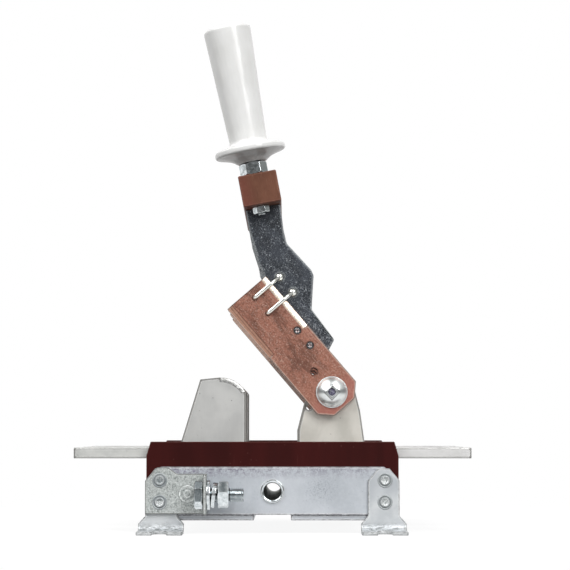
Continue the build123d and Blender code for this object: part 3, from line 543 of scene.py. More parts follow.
def stud_nut(node):
    """The nut under the cross beam."""
    low, high = span(node, ALONG_HANDLE)
    place = placed(on_axis(node, ALONG_HANDLE, low), ACROSS_HANDLE, ALONG_HANDLE)
    nut = hexagon(NUT_FLATS, (high - low) / MM, place, bore=STUD_RADIUS)
    return rounded(mesh_of(nut), edge_width(node))


def on_ball(points):
    """The points, lowered onto the dome of a pivot pin's end."""
    return [(x, y, DOME_CENTRE + math.sqrt(DOME_BALL**2 - x * x - y * y)) for x, y, _ in points]


def pivot_pin(node):
    """The pin with its domed ends, each with a square top and a round recess."""
    dome = [DOME_FROM + (DOME_RADIUS - DOME_FROM) * step / BEND_STEPS for step in range(BEND_STEPS + 1)]
    recess = [(0.7, 0.4), (1.5, 0.6), (2.2, 0.6), (RECESS_RADIUS - 0.25, 0.35), (RECESS_RADIUS, 0.02)]
    half = [[(0, 0, BOSS_TOP - 0.3)]]
    half += [ring(radius, BOSS_TOP - depth) for radius, depth in recess]
    half += [
        ring(BOSS_HALF - 0.95, BOSS_TOP, sides=4),
        ring(BOSS_HALF - 0.25, BOSS_TOP - 0.5, sides=4),
        on_ball(ring(BOSS_HALF, 0, sides=4)),
    ]
    half += [on_ball(ring(radius, 0)) for radius in dome]
    edge = [
        (DOME_RADIUS + 0.05, FLANGE_TOP - 0.1, 0),
        (FLANGE_RADIUS, FLANGE_TOP, 0.3),
        (FLANGE_RADIUS, KNIFE_FACE, 0.2),
        (PIN_RADIUS, KNIFE_FACE, 0),
    ]
    half += [ring(radius, height) for radius, height in eased(edge)]
    other = [[(x, y, -z) for x, y, z in points] for points in reversed(half)]
    place = placed(middle(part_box(node)), direction(KNIFE_ANGLE - 45), -BACK)
    return shaded(mesh_of(skin(half + other, place)))


def frame_rivets(node):
    """Rivets with a dimpled head in a pressed collar outside and a low dome inside."""
    parts = []
    for low, high in solid_boxes(node):
        outwards = -BACK if middle((low, high)).y < 0 else BACK
        head = max(abs(low.y), abs(high.y)) - FRAME_RIVET_HEAD * MM
        centre = middle((low, high))
        centre.y = outwards.y * head
        shank = (high.y - low.y) / MM - FRAME_RIVET_HEAD - FRAME_RIVET_TAIL
        corners = [
            (0, 0.5, 0),
            (1.2, 0.35, 0.4),
            (1.75, 0.4, 0.2),
            (2.3, FRAME_RIVET_HEAD, 0.2),
            (3.2, FRAME_RIVET_HEAD, 0.35),
            (3.4, 0.1, 0),
            (3.85, 0.1, 0),
            (4.25, 0.42, 0.15),
            (4.75, 0.4, 0.2),
            (5.1, 0, 0),
            (RIVET_SHANK_RADIUS, 0, 0),
            (RIVET_SHANK_RADIUS, -shank, 0),
            (4.5, -shank, 0.1),
            (3.9, -shank - 1.3, 0.6),
            (0, -shank - FRAME_RIVET_TAIL, 0),
        ]
        parts.append(lathe(corners, placed(centre, RIGHT, outwards)))
    return shaded(mesh_of(*parts))


def blade_rivets(node):
    """Rivets flush with the knives, their rims turned down and their middles dimpled."""
    parts = []
    for low, high in solid_boxes(node):
        half = [
            (0, KNIFE_FACE - 0.65, 0),
            (1.0, KNIFE_FACE - 0.6, 0.3),
            (1.35, KNIFE_FACE - 0.05, 0.15),
            (1.85, KNIFE_FACE, 0.15),
            (2.05, KNIFE_FACE - 1.1, 0.1),
            (RIVET_SHANK_RADIUS, KNIFE_FACE - 1.1, 0),
        ]
        parts.append(lathe(both_ends(half), placed(middle((low, high)), RIGHT, BACK)))
    return shaded(mesh_of(*parts))


def tie_tube(node):
    """The tube with both its mouths flared and rolled over."""
    low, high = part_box(node)
    end = high.y / MM
    half = [
        (TUBE_BORE, end - 2.4, 0.8),
        (6.1, end - 0.5, 0.5),
        (7.3, end, 0.6),
        (8.0, end - 0.3, 0.3),
        (8.0, end - 1.2, 0.2),
        (7.25, end - 1.2, 0),
    ]
    place = placed(middle((low, high)), RIGHT, BACK)
    return shaded(mesh_of(lathe(both_ends(half), place, loop=True)))


def clip_path():
    """A spring clip's middle line, across the knives and outwards."""
    bend = CLIP_LEG - KNIFE_FACE
    half = [Vector((CLIP_TIP, KNIFE_FACE - CLIP_HOLE_DEPTH))]
    for turn in quarter(BEND_STEPS):
        half.append(Vector((CLIP_TIP + bend - bend * math.cos(turn), KNIFE_FACE + bend * math.sin(turn))))
    for turn in reversed(quarter(ARCH_STEPS)):
        half.append(Vector((CLIP_ARCH + CLIP_LEG * math.cos(turn), CLIP_LEG * math.sin(turn))))
    return half + [Vector((point.x, -point.y)) for point in reversed(half[:-1])]


def spring_clips(node):
    """Two bent wires across the knives of each pole, with a bead on each face of the lever."""
    path = clip_path()
    bead = [(0, 0, 0)]
    for turn in reversed(quarter(BEAD_STEPS)):
        bead.append((CLIP_BEAD_RADIUS * math.sin(turn), CLIP_BEAD_RADIUS * math.cos(turn), 0))
    parts = []
    for number in (1, 2, 3):
        pivot = middle(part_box(f"pivot_pin_{number}"))
        for reach in CLIP_REACHES:
            place = placed(pivot + ALONG_KNIFE * reach * MM, ACROSS_KNIFE, -ALONG_KNIFE)
            parts.append(wire(path, CLIP_WIRE_RADIUS, place))
            for out in (-BACK, BACK):
                seat = pivot + (ALONG_KNIFE * reach + ACROSS_KNIFE * CLIP_BEAD_REACH) * MM
                parts.append(lathe(bead, placed(seat + out * LEVER_FACE * MM, RIGHT, out)))
    return shaded(mesh_of(*parts))


def slotted_screws(node):
    """Countersunk screws with a slot across each head."""
    cutters = []
    outwards = 1 if node == "contact_screws" else -1
    for index, (low, high) in enumerate(solid_boxes(node)):
        head = middle((low, high))
        head.z = high.z if outwards > 0 else low.z
        turn = math.radians(SLOT_TURN * index)
        along = Vector((math.cos(turn), math.sin(turn), 0))
        half = SLOT_WIDTH / 2
        reach = high.x - low.x
        section = [(-half, -SLOT_DEPTH), (half, -SLOT_DEPTH), (half, SLOT_DEPTH), (-half, SLOT_DEPTH)]
        rings = [[(side * reach / MM, x, z) for x, z in section] for side in (-1, 1)]
        tips = [[(side * reach / MM, 0, 0)] for side in (-1, 1)]
        place = placed(head, along, UP * outwards)
        cutters.append(skin([tips[0], *rings, tips[1]], place))
    cutter = in_scene("slots", mesh_of(*cutters))
    mesh = modified(clean_copy(node), "BOOLEAN", object=cutter, operation="DIFFERENCE", solver="EXACT")
    bpy.data.objects.remove(cutter)
    return rounded(mesh, edge_width(node))


def earth_bolt(node):
    """The earth terminal's bolt, its head at the left and its thread running right."""
    low, high = span(node, RIGHT)
    place = placed(on_axis(node, RIGHT, low), -UP, RIGHT)
    head = rounded(mesh_of(hexagon(BOLT_HEAD_FLATS, BOLT_HEAD_HEIGHT, place)), edge_width(node))
    rod = threaded_rod(BOLT_RADIUS, BOLT_PITCH, BOLT_HEAD_HEIGHT, (high - low) / MM, place)
    return shaded(with_mesh(head, rod))


def earth_nut(node):
    """The nut on the earth terminal's bolt."""
    low, high = span(node, RIGHT)
    corner = Matrix.Rotation(math.radians(NUT_TURN), 3, "X") @ -UP
    place = placed(on_axis(node, RIGHT, low), corner, RIGHT)
    nut = hexagon(BOLT_HEAD_FLATS, (high - low) / MM, place, bore=BOLT_RADIUS)
    return rounded(mesh_of(nut), edge_width(node))


SHAPED = (lever_arm, handle, handle_stud, stud_nut, pivot_pin, frame_rivets, blade_rivets, tie_tube)
SHAPED += (spring_clips, earth_bolt, earth_nut)
MAKERS = {make.__name__: make for make in SHAPED}
MAKERS["contact_screws"] = MAKERS["beam_screws"] = slotted_screws


def finish_piece(node, materials):
    """Puts the finished piece in the place of its CAD node, on the same body."""
    make = MAKERS.get(kind_of(node, MAKERS), softened)
    mesh = make(node)
    mesh.materials.clear()
    mesh.materials.append(materials[SLOT_OF[node]])
    piece = in_scene("finished_" + node, mesh)
    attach(piece, NODES[node]["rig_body"])
    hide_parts(node)


# --- Material helpers ---


class Nodes:
    """A node tree, written with short calls. Places in it are in millimetres."""

    def __init__(self, tree):
        self.nodes = tree.nodes
        self.links = tree.links

    def fill(self, socket, value):
        """Links a socket into another, or sets its value."""
        if isinstance(value, bpy.types.NodeSocket):
            self.links.new(value, socket)
        else:
            socket.default_value = value

    def node(self, kind, *values, **settings):
        """A node with its settings, and its inputs in order. None leaves an input alone."""
        made = self.nodes.new("ShaderNode" + kind)
        for name, value in settings.items():
            setattr(made, name, value)
        for socket, value in zip(made.inputs, values):
            if value is not None:
                self.fill(socket, value)
        return made

    def maths(self, operation, *values):
        """The result of a Math node."""
        return self.node("Math", *values, operation=operation).outputs[0]

    def between(self, value, low, high, to_low=0.0, to_high=1.0):
        """The value carried from one range to another, smoothly, and held at its ends."""
        made = self.node("MapRange", value, low, high, to_low, to_high, interpolation_type="SMOOTHSTEP")
        return made.outputs[0]

    def both(self, first, second):
        """The product of two values: of two masks, where both are."""
        return self.maths("MULTIPLY", first, second)

    def either(self, first, second):
        """The larger of two values: of two masks, where either is."""
        return self.maths("MAXIMUM", first, second)

    def plus(self, first, second):
        """The sum of two values."""
        return self.maths("ADD", first, second)

    def minus(self, first, second):
        """The difference of two values."""
        return self.maths("SUBTRACT", first, second)

    def within(self, value, limits, blur):
        """1 between two limits, falling to 0 over a blur inside them."""
        low, high = limits
        return self.both(self.between(value, low, low + blur), self.between(value, high, high - blur))

    def near(self, value, target, reach):
        """1 where a value is at a target, falling to 0 at a reach from it."""
        return self.between(self.maths("ABSOLUTE", self.minus(value, target)), reach, 0.0)

    def distance(self, x, y):
        """The length of a flat vector."""
        return self.maths("SQRT", self.plus(self.both(x, x), self.both(y, y)))


class Look(Nodes):
    """A material, whose places are measured from a pivot and along a turned X axis."""

    def __init__(self, name, pivot=(0, 0, 0), turn=0.0):
        self.material = bpy.data.materials.new(name)
        self.material.use_nodes = True
        super().__init__(self.material.node_tree)
        self.shader = self.nodes["Principled BSDF"]
        self.colour = None
        here = self.nodes.new("ShaderNodeTexCoord").outputs["Object"]
        moved = self.node("VectorMath", here, tuple(pivot), operation="SUBTRACT").outputs[0]
        self.here = self.node("Mapping", moved, (0, 0, 0), (0, math.radians(turn), 0)).outputs[0]

    def finish(self, **values):
        """The material, its colour and the inputs that are named, with underscores for spaces, filled."""
        for name, value in {"Base_Color": self.colour, **values}.items():
            self.fill(self.shader.inputs[name.replace("_", " ")], value)
        return self.material

    def place(self, size, stretch=(1, 1, 1)):
        """The place in units of a size, longer along the stretched axes."""
        scale = [1 / (MM * size * one) for one in stretch]
        return self.node("Mapping", self.here, (0, 0, 0), (0, 0, 0), scale).outputs[0]

    def parts(self):
        """The place's X, Y and Z in millimetres."""
        return self.node("SeparateXYZ", self.place(1.0)).outputs

    def facing(self):
        """The X, Y and Z of the direction in which a face looks."""
        normal = self.nodes.new("ShaderNodeNewGeometry").outputs["True Normal"]
        return self.node("SeparateXYZ", normal).outputs

    def noise(self, size, detail=4.0, rough=0.55, warp=0.0, stretch=(1, 1, 1)):
        """Soft noise of a feature size, from 0 to 1."""
        made = self.node("TexNoise", self.place(size, stretch))
        made.inputs["Scale"].default_value = 1.0
        made.inputs["Detail"].default_value = detail
        made.inputs["Roughness"].default_value = rough
        made.inputs["Distortion"].default_value = warp
        return made.outputs["Fac"]

    def grains(self, size):
        """Scattered grains: the distance from each one's middle, and a random number for each."""
        made = self.node("TexVoronoi", self.place(size))
        made.inputs["Scale"].default_value = 1.0
        pick = self.node("SeparateColor", made.outputs["Color"]).outputs[0]
        return made.outputs["Distance"], pick

    def specks(self, size, share):
        """Small ragged dots on a share of the grains, some fainter than others."""
        distance, pick = self.grains(size)
        ragged = self.noise(size * 0.4, detail=2, rough=0.7)
        dot = self.both(self.between(distance, 0.45, 0.2), self.between(ragged, 0.4, 0.55))
        return self.both(dot, self.between(pick, 1 - share, 1 - share / 3))

    def mix(self, factor, first, second):
        """A colour between two colours."""
        made = self.node("Mix", data_type="RGBA")
        self.fill(made.inputs["Factor"], factor)
        for socket, value in ((made.inputs[6], first), (made.inputs[7], second)):
            self.fill(socket, value if isinstance(value, bpy.types.NodeSocket) else (*value, 1.0))
        return made.outputs[2]

    def over(self, mask, colour, share=None):
        """Lays a colour over the material's colour where a mask is, up to a share."""
        factor = self.both(mask, share) if share else mask
        self.colour = self.mix(factor, self.colour, colour)

    def toned(self, tone, low, high):
        """A colour between two, led by noise."""
        return self.mix(self.between(tone, 0.35, 0.65), low, high)

    def led(self, tone, low, high):
        """A number between two, led by noise."""
        return self.between(tone, 0.3, 0.7, low, high)

    def bump(self, height, depth):
        """A normal from a height from 0 to 1 that is worth a depth in millimetres."""
        made = self.node("Bump")
        made.inputs["Distance"].default_value = depth * MM
        self.fill(made.inputs["Height"], height)
        return made.outputs[0]

    def crevices(self, reach):
        """A mask for painted shade: 1 deep in corners and gaps, falling to 0 on open faces."""
        made = self.node("AmbientOcclusion", None, reach * MM, samples=8)
        return self.between(made.outputs["AO"], 0.72, 0.3)

    def edges(self, width):
        """Two masks along outer edges, for a painted highlight and a painted line of shade: one that fades
        over a width, and a thin line at the edge itself.
        """
        made = self.node("AmbientOcclusion", None, width * MM, samples=8, inside=True, only_local=True)
        depth = made.outputs["AO"]
        return self.between(depth, 0.99, 0.87), self.between(depth, 0.9, 0.72)


# --- Materials ---


def zinc_plate():
    """Blue-white zinc on sheet steel: softly clouded, stained along its top and scuffed, with painted shade
    in its crevices and a painted highlight and shade line along its edges.
    """
    look = Look("zinc_plate")
    clouds = look.noise(30, detail=5, rough=0.6, warp=0.5)
    mottle = look.noise(2.4, rough=0.7)
    grain = look.noise(1.1, detail=3, rough=0.7)
    x, _, z = look.parts()
    look.colour = look.toned(clouds, (0.53, 0.565, 0.605), (0.62, 0.65, 0.69))
    look.over(look.between(mottle, 0.42, 0.7, 0.0, 0.16), (0.78, 0.81, 0.85))
    high = look.between(z, *PLATE_STAIN_HEIGHTS)
    stain = look.both(high, look.between(look.noise(2.2, detail=5, rough=0.85), 0.42, 0.6))
    look.over(look.both(stain, look.between(x, 30.0, -60.0, 0.6, 1.0)), (0.2, 0.18, 0.25))
    patch = look.both(look.near(x, PLATE_SCUFF[0], 16.0), look.near(z, PLATE_SCUFF[1], 14.0))
    scuffs = look.both(patch, look.between(look.noise(1.4, rough=0.85), 0.5, 0.62))
    look.over(scuffs, (0.22, 0.25, 0.3), 0.85)
    look.over(look.specks(1.0, 0.08), (0.3, 0.32, 0.35), 0.5)
    # Painted shade in corners and gaps.
    look.over(look.crevices(1.6), (0.12, 0.12, 0.15), 0.5)
    # Painted highlight along the edges, and a thin line of painted shade at them.
    rim, line = look.edges(1.5)
    look.over(rim, (0.92, 0.93, 0.94), 0.6)
    line = look.both(line, look.between(mottle, 0.35, 0.6, 0.3, 1.0))
    look.over(line, (0.1, 0.09, 0.11), 0.8)
    return look.finish(
        Metallic=0.45,
        Roughness=look.led(clouds, 0.33, 0.45),
        Normal=look.bump(look.plus(grain, mottle), 0.03),
    )


def zinc_feet():
    """Smooth pale zinc on the bent feet, with painted shade higher up and a streaked band of painted shade
    along the bends.
    """
    look = Look("zinc_feet")
    clouds = look.noise(14, rough=0.55)
    grain = look.noise(0.9, detail=3, rough=0.7)
    _, _, z = look.parts()
    look.colour = look.toned(clouds, (0.54, 0.565, 0.585), (0.66, 0.68, 0.69))
    bend_streaks = look.between(look.noise(1.1, rough=0.75, stretch=(3, 3, 1)), 0.44, 0.58)
    look.over(look.between(z, *FOOT_SHADE_HEIGHTS, 0.0, 0.5), (0.44, 0.47, 0.5))
    # Painted shade along the bend, broken into streaks.
    look.over(look.both(look.near(z, FOOT_BEND_SHADE_HEIGHT, 5.0), bend_streaks), (0.14, 0.15, 0.15), 0.8)
    look.over(look.specks(1.1, 0.07), (0.3, 0.32, 0.33), 0.5)
    # Painted shade in corners and gaps.
    look.over(look.crevices(2.2), (0.14, 0.14, 0.15), 0.6)
    # Painted highlight along the edges, and a thin line of painted shade at them.
    rim, line = look.edges(1.4)
    look.over(rim, (0.92, 0.93, 0.93), 0.5)
    line = look.both(line, look.between(bend_streaks, 0.0, 1.0, 0.5, 1.0))
    look.over(line, (0.1, 0.11, 0.11), 0.8)
    return look.finish(Metallic=0.45, Roughness=look.led(clouds, 0.46, 0.56), Normal=look.bump(grain, 0.03))


def zinc_bracket():
    """Grey-green spangled zinc with a faint worn ring pressed into it, painted shade in its crevices and a
    painted highlight and shade line along its edges.
    """
    look = Look("zinc_bracket")
    distance, pick = look.grains(0.9)
    coarse = look.noise(1.3, rough=0.8)
    fine = look.noise(0.8, detail=3, rough=0.8)
    x, _, z = look.parts()
    look.colour = look.mix(look.between(fine, 0.36, 0.64), (0.36, 0.39, 0.38), (0.63, 0.66, 0.645))
    look.over(look.between(pick, 0.7, 0.9), (0.14, 0.16, 0.155), 0.6)
    look.over(look.between(coarse, 0.52, 0.62), (0.82, 0.85, 0.84), 0.6)
    reach = look.distance(look.minus(x, BRACKET_MARK[0]), look.minus(z, BRACKET_MARK[1]))
    mark = look.either(look.near(reach, 5.3, 0.8), look.near(reach, 2.3, 0.7))
    mark = look.both(mark, look.between(fine, 0.3, 0.5))
    look.over(mark, (0.84, 0.86, 0.85), 0.6)
    scored = look.either(look.near(reach, 6.2, 0.6), look.near(reach, 3.6, 0.6))
    look.over(scored, (0.2, 0.22, 0.22), 0.45)
    # Painted shade in corners and gaps.
    look.over(look.crevices(1.8), (0.07, 0.08, 0.075), 0.75)
    # Painted highlight along the edges, and a thin line of painted shade at them.
    rim, line = look.edges(1.1)
    look.over(rim, (0.85, 0.86, 0.85), 0.5)
    look.over(line, (0.06, 0.07, 0.06), 0.85)
    height = look.plus(fine, look.both(mark, 1.5))
    return look.finish(
        Metallic=0.5,
        Roughness=look.between(pick, 0.0, 1.0, 0.34, 0.5),
        Normal=look.bump(look.plus(height, look.both(distance, 0.5)), 0.09),
    )


def speckle_frame_rivets(look, x, z, grain):
    """Speckles the frame's rivets, with painted shade in a dark groove and a painted highlight on a bright
    ring. Gives the rivets' mask.
    """
    reach = None
    for low, high in solid_boxes("frame_rivets_front"):
        centre = middle((low, high)) / MM
        away = look.distance(look.minus(x, centre.x), look.minus(z, centre.z))
        reach = look.maths("MINIMUM", reach, away) if reach else away
    rivet = look.between(reach, 5.4, 5.2)
    speckled = look.mix(look.between(grain, 0.44, 0.56), (0.25, 0.28, 0.28), (0.9, 0.92, 0.92))
    look.over(rivet, speckled)
    # Painted shade in the groove round each head, and a painted highlight on the collar.
    look.over(look.near(reach, 3.3, 1.0), (0.03, 0.035, 0.035), 0.95)
    look.over(look.near(reach, 4.4, 0.6), (0.93, 0.95, 0.95), 0.8)
    return rivet


def oil_earth_terminal(look, x, z, grain):
    """Paints dark reflections on the upper part of the earth bolt's head and of its nut."""
    bolt = middle(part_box("earth_bolt")) / MM
    near_bolt = look.both(look.near(z, bolt.z, 12.0), look.between(x, bolt.x + 16.0, bolt.x - 20.0))
    over_bolt = look.minus(z, bolt.z)
    head = look.minus(x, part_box("earth_bolt")[0].x / MM)
    head = look.both(look.between(head, 6.6, 6.4), look.between(over_bolt, -4.4, -4.0))
    nut = look.minus(x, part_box("earth_nut")[0].x / MM)
    nut = look.both(look.near(nut, 3.9, 4.5), look.between(over_bolt, 2.0, 2.4))
    # Painted dark reflections on the head and nut.
    dark_reflection = look.both(look.either(head, nut), look.between(near_bolt, 0.0, 0.05))
    dark_reflection = look.both(dark_reflection, look.between(grain, 0.35, 0.65, 0.9, 0.55))
    look.over(dark_reflection, (0.08, 0.11, 0.12))


def zinc_fasteners():
    """Bright zinc on fasteners, dull and with painted shade inside the tube, painted shade on the contact
    screws, in crevices and at the stud, and brown on the knives.
    """
    look = Look("zinc_fasteners")
    clouds = look.noise(2.6, rough=0.6)
    grain = look.noise(0.5, detail=3, rough=0.7)
    x, _, z = look.parts()
    look.colour = look.toned(clouds, (0.56, 0.61, 0.63), (0.78, 0.82, 0.84))
    look.over(look.between(grain, 0.56, 0.66), (0.25, 0.29, 0.28), 0.35)
    # Painted shade on the contact screws beside the contact posts.
    dim = look.within(z, CONTACT_SCREW_HEIGHTS, 2.0)
    look.over(dim, (0.1, 0.09, 0.085), 0.9)
    on_knives = look.within(z, KNIFE_RIVET_HEIGHTS, 3.0)
    look.over(on_knives, (0.36, 0.22, 0.2), 0.7)
    rivet = speckle_frame_rivets(look, x, z, grain)
    oil_earth_terminal(look, x, z, grain)
    # Inside the tube's bore: painted shade, and a duller finish.
    from_axis = look.distance(x, look.minus(z, TUBE_AXIS_Z))
    bore = look.between(from_axis, TUBE_BORE + 0.45, TUBE_BORE + 0.05)
    bore = look.both(bore, look.between(z, BARS_TOP, BARS_TOP - 2))
    # Painted shade in corners and gaps.
    look.over(look.crevices(1.6), (0.05, 0.055, 0.055))
    on_stud = look.between(z, STUD_HEIGHT, STUD_HEIGHT + 3)
    sideways = look.facing()[0]
    blotches = look.between(look.noise(3.0, detail=2), 0.5, 0.54, 0.0, 0.5)
    shade = look.either(look.between(sideways, 0.5, 0.7), blotches)
    look.over(look.both(on_stud, shade), (0.07, 0.085, 0.08), 0.85)
    look.over(bore, (0.22, 0.235, 0.21))
    # Painted highlight along the edges, and a thin line of painted shade at them.
    rim, line = look.edges(0.8)
    look.over(rim, (0.95, 0.97, 0.98), 0.5)
    look.over(line, (0.1, 0.13, 0.14), 0.6)
    rough = look.either(look.led(clouds, 0.14, 0.24), look.both(rivet, 0.3))
    dull = look.plus(look.both(bore, 0.1), look.both(rivet, 0.75))
    return look.finish(
        Metallic=look.minus(1.0, dull),
        Roughness=look.either(rough, look.both(bore, 0.45)),
        Normal=look.bump(grain, 0.02),
    )


def red_insulation():
    """Dark red moulding with a dull gloss, faint upright bands, a few nicks and a painted highlight along
    its edges.
    """
    look = Look("red_insulation")
    bands = look.noise(20, detail=3, stretch=(1, 1, 8))
    look.colour = look.toned(bands, (0.031, 0.0042, 0.0038), (0.043, 0.0048, 0.0043))
    look.over(look.specks(1.2, 0.015), (0.2, 0.1, 0.09), 0.4)
    scratches = look.between(look.noise(1.0, detail=2, stretch=(1, 1, 30)), 0.72, 0.78)
    look.over(scratches, (0.17, 0.07, 0.06), 0.2)
    # Painted highlight along the edges.
    rim, _ = look.edges(0.6)
    look.over(rim, (0.18, 0.07, 0.06), 0.35)
    return look.finish(
        Roughness=look.led(bands, 0.34, 0.46),
        Normal=look.bump(look.noise(1.6, detail=3), 0.02),
        Specular_IOR_Level=0.12,
    )


def tinned_copper():
    """Satin tin: pale on the terminal bars, greyer on the jaws, warmer on the hinges, with painted shade on
    the jaw brows and in crevices and painted edge light and shade.
    """
    look = Look("tinned_copper")
    clouds = look.noise(18, rough=0.6, warp=0.4)
    brushed = look.noise(1.0, detail=3, rough=0.6, stretch=(1, 1, 12))
    x, _, z = look.parts()
    left = look.toned(clouds, (0.58, 0.59, 0.57), (0.67, 0.675, 0.65))
    right = look.toned(clouds, (0.68, 0.675, 0.665), (0.75, 0.745, 0.74))
    bar = look.mix(look.between(x, -5.0, 5.0), left, right)
    jaw = look.toned(clouds, (0.54, 0.54, 0.53), (0.59, 0.59, 0.575))
    hinge = look.toned(clouds, (0.6, 0.58, 0.525), (0.68, 0.655, 0.6))
    post = look.mix(look.between(x, -5.0, 5.0), jaw, hinge)
    look.colour = look.mix(look.between(z, BARS_TOP - 1.5, BARS_TOP + 1.5), bar, post)
    look.over(look.between(brushed, 0.4, 0.75, 0.0, 0.06), (0.8, 0.8, 0.78))
    look.over(look.specks(1.3, 0.014), (0.1, 0.095, 0.09), 0.8)
    # Painted shade in corners and gaps.
    look.over(look.crevices(2.0), (0.12, 0.11, 0.1), 0.6)
    # Painted shade on the sloping faces of the jaw brows, broken into streaks.
    _, backwards, upwards = look.facing()
    painted_brow_shade = look.between(look.both(backwards, upwards), -0.03, -0.1)
    painted_brow_shade = look.both(painted_brow_shade, look.between(z, JAW_BEVEL_HEIGHT, JAW_BEVEL_HEIGHT + 5))
    streaks = look.between(look.noise(1.5, detail=3, rough=0.7), 0.4, 0.6, 0.6, 1.0)
    look.over(look.both(painted_brow_shade, streaks), (0.2, 0.2, 0.195))
    # Painted highlight along the edges, and a thin line of painted shade at them.
    rim, line = look.edges(2.0)
    look.over(rim, (0.88, 0.88, 0.86), 0.5)
    look.over(line, (0.1, 0.095, 0.085), 0.8)
    return look.finish(
        Metallic=0.5,
        Roughness=look.led(clouds, 0.36, 0.48),
        Normal=look.bump(brushed, 0.015),
    )


def copper():
    """Handled copper: brown smears, bright flecks, scratches along the knives; a painted reflection on the
    upper bevels, painted edge light and shade.
    """
    pivot = middle(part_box("pivot_pin_1"))
    look = Look("copper", pivot=(pivot.x, 0, pivot.z), turn=KNIFE_ANGLE)
    mottle = look.noise(1.3, rough=0.75)
    smears = look.noise(10, detail=5, rough=0.65, warp=0.8, stretch=(2.6, 1, 1))
    blots = look.noise(3.2, rough=0.75, warp=0.6, stretch=(1.8, 1, 1))
    scratches = look.noise(0.6, detail=2, stretch=(30, 1, 1))
    along, _, down = look.parts()
    off_middle = look.maths("ABSOLUTE", down)
    look.colour = look.mix(look.between(mottle, 0.3, 0.7), (0.25, 0.1, 0.068), (0.49, 0.225, 0.16))
    worn = look.between(along, 5.0, 25.0, 0.4, 1.0)
    worn = look.both(worn, look.between(off_middle, 17.0, 9.0, 0.2, 1.0))
    dark = look.both(look.between(blots, 0.5, 0.66), 0.8)
    dark = look.either(look.between(smears, 0.45, 0.62), dark)
    look.over(look.both(dark, worn), (0.12, 0.052, 0.036), 0.7)
    look.over(look.between(scratches, 0.6, 0.72), (0.6, 0.38, 0.3), 0.4)
    flecks = look.between(look.noise(0.7, detail=3, rough=0.8), 0.55, 0.66)
    flecks = look.both(flecks, look.between(blots, 0.38, 0.55))
    look.over(flecks, (0.8, 0.6, 0.5), 0.7)
    look.over(look.between(along, 8.0, -8.0, 0.0, 0.55), (0.5, 0.18, 0.15))
    edge = KNIFE_HALF_WIDTH - KNIFE_BEVEL_WIDTH
    bevelled = look.between(along, KNIFE_BEVEL_FROM - 1, KNIFE_BEVEL_FROM + 1)
    upper = look.both(look.between(down, -edge + 0.3, -edge - 0.3), bevelled)
    lower = look.both(look.between(down, edge - 0.3, edge + 0.3), bevelled)
    look.over(lower, (0.62, 0.39, 0.27), 0.35)
    # Dark lines drawn along the lower bevel and where it starts.
    lines = look.both(look.near(down, edge + 1.8, 0.5), bevelled)
    look.over(lines, (0.12, 0.055, 0.04), 0.6)
    bevel_start_line = look.both(look.near(down, edge, 0.6), bevelled)
    look.over(bevel_start_line, (0.12, 0.055, 0.04), 0.75)
    # Painted reflection: cream white on the upper bevels, where the roughness is lowered too.
    look.over(upper, (0.82, 0.72, 0.6), 0.85)
    # A dark line drawn along the upper bevel.
    seam = look.both(look.near(down, -edge - 1.9, 0.5), upper)
    look.over(seam, (0.25, 0.16, 0.11), 0.6)
    # Painted shade in corners and gaps, round the rivets and between the knives.
    look.over(look.crevices(1.8), (0.035, 0.018, 0.014), 0.8)
    # Painted highlight along the knives' outer edges and tail, and a thin line of painted shade at the
    # edges.
    rim, line = look.edges(1.2)
    outer = look.between(off_middle, KNIFE_HALF_WIDTH - 3, KNIFE_HALF_WIDTH - 2)
    outer = look.either(outer, look.between(along, 0, -2))
    look.over(look.both(rim, outer), (0.9, 0.72, 0.62), 0.6)
    look.over(line, (0.05, 0.03, 0.025), 0.75)
    rough = look.led(mottle, 0.36, 0.5)
    return look.finish(
        Metallic=0.6,
        Roughness=look.minus(rough, look.both(upper, 0.14)),
        Normal=look.bump(look.plus(scratches, mottle), 0.03),
    )


def dark_steel():
    """Blackened steel with fine pale speckle, denser towards its lower end, and rims lightened partly by
    wear, partly by a painted highlight.
    """
    look = Look("dark_steel")
    tone = look.noise(10, detail=3, rough=0.6)
    drifts = look.noise(6, rough=0.7)
    grit = look.noise(0.9, detail=3, rough=0.8)
    fine = look.noise(0.5, detail=2, rough=0.8, stretch=(1, 1, 1.6))
    _, _, z = look.parts()
    low = look.between(z, *LEVER_SPECKLE_HEIGHTS)
    look.colour = look.toned(tone, (0.019, 0.022, 0.028), (0.04, 0.046, 0.058))
    dense = look.either(look.between(drifts, 0.36, 0.6, 0.25, 0.9), low)
    dots = look.either(look.between(fine, 0.54, 0.68), look.between(grit, 0.58, 0.7))
    look.over(look.both(dots, dense), (0.42, 0.46, 0.5), 0.75)
    clusters = look.either(look.between(drifts, 0.42, 0.58, 0.15, 1.0), low)
    flecks = look.both(look.specks(1.1, 0.3), clusters)
    look.over(flecks, (0.75, 0.79, 0.83), 0.85)
    # Rims lightened in patches: a painted highlight, broken up like wear.
    rim, _ = look.edges(1.4)
    look.over(look.both(rim, look.between(grit, 0.35, 0.6)), (0.3, 0.32, 0.33))
    return look.finish(
        Metallic=0.3,
        Roughness=look.led(grit, 0.42, 0.56),
        Normal=look.bump(grit, 0.08),
        Specular_IOR_Level=0.4,
    )


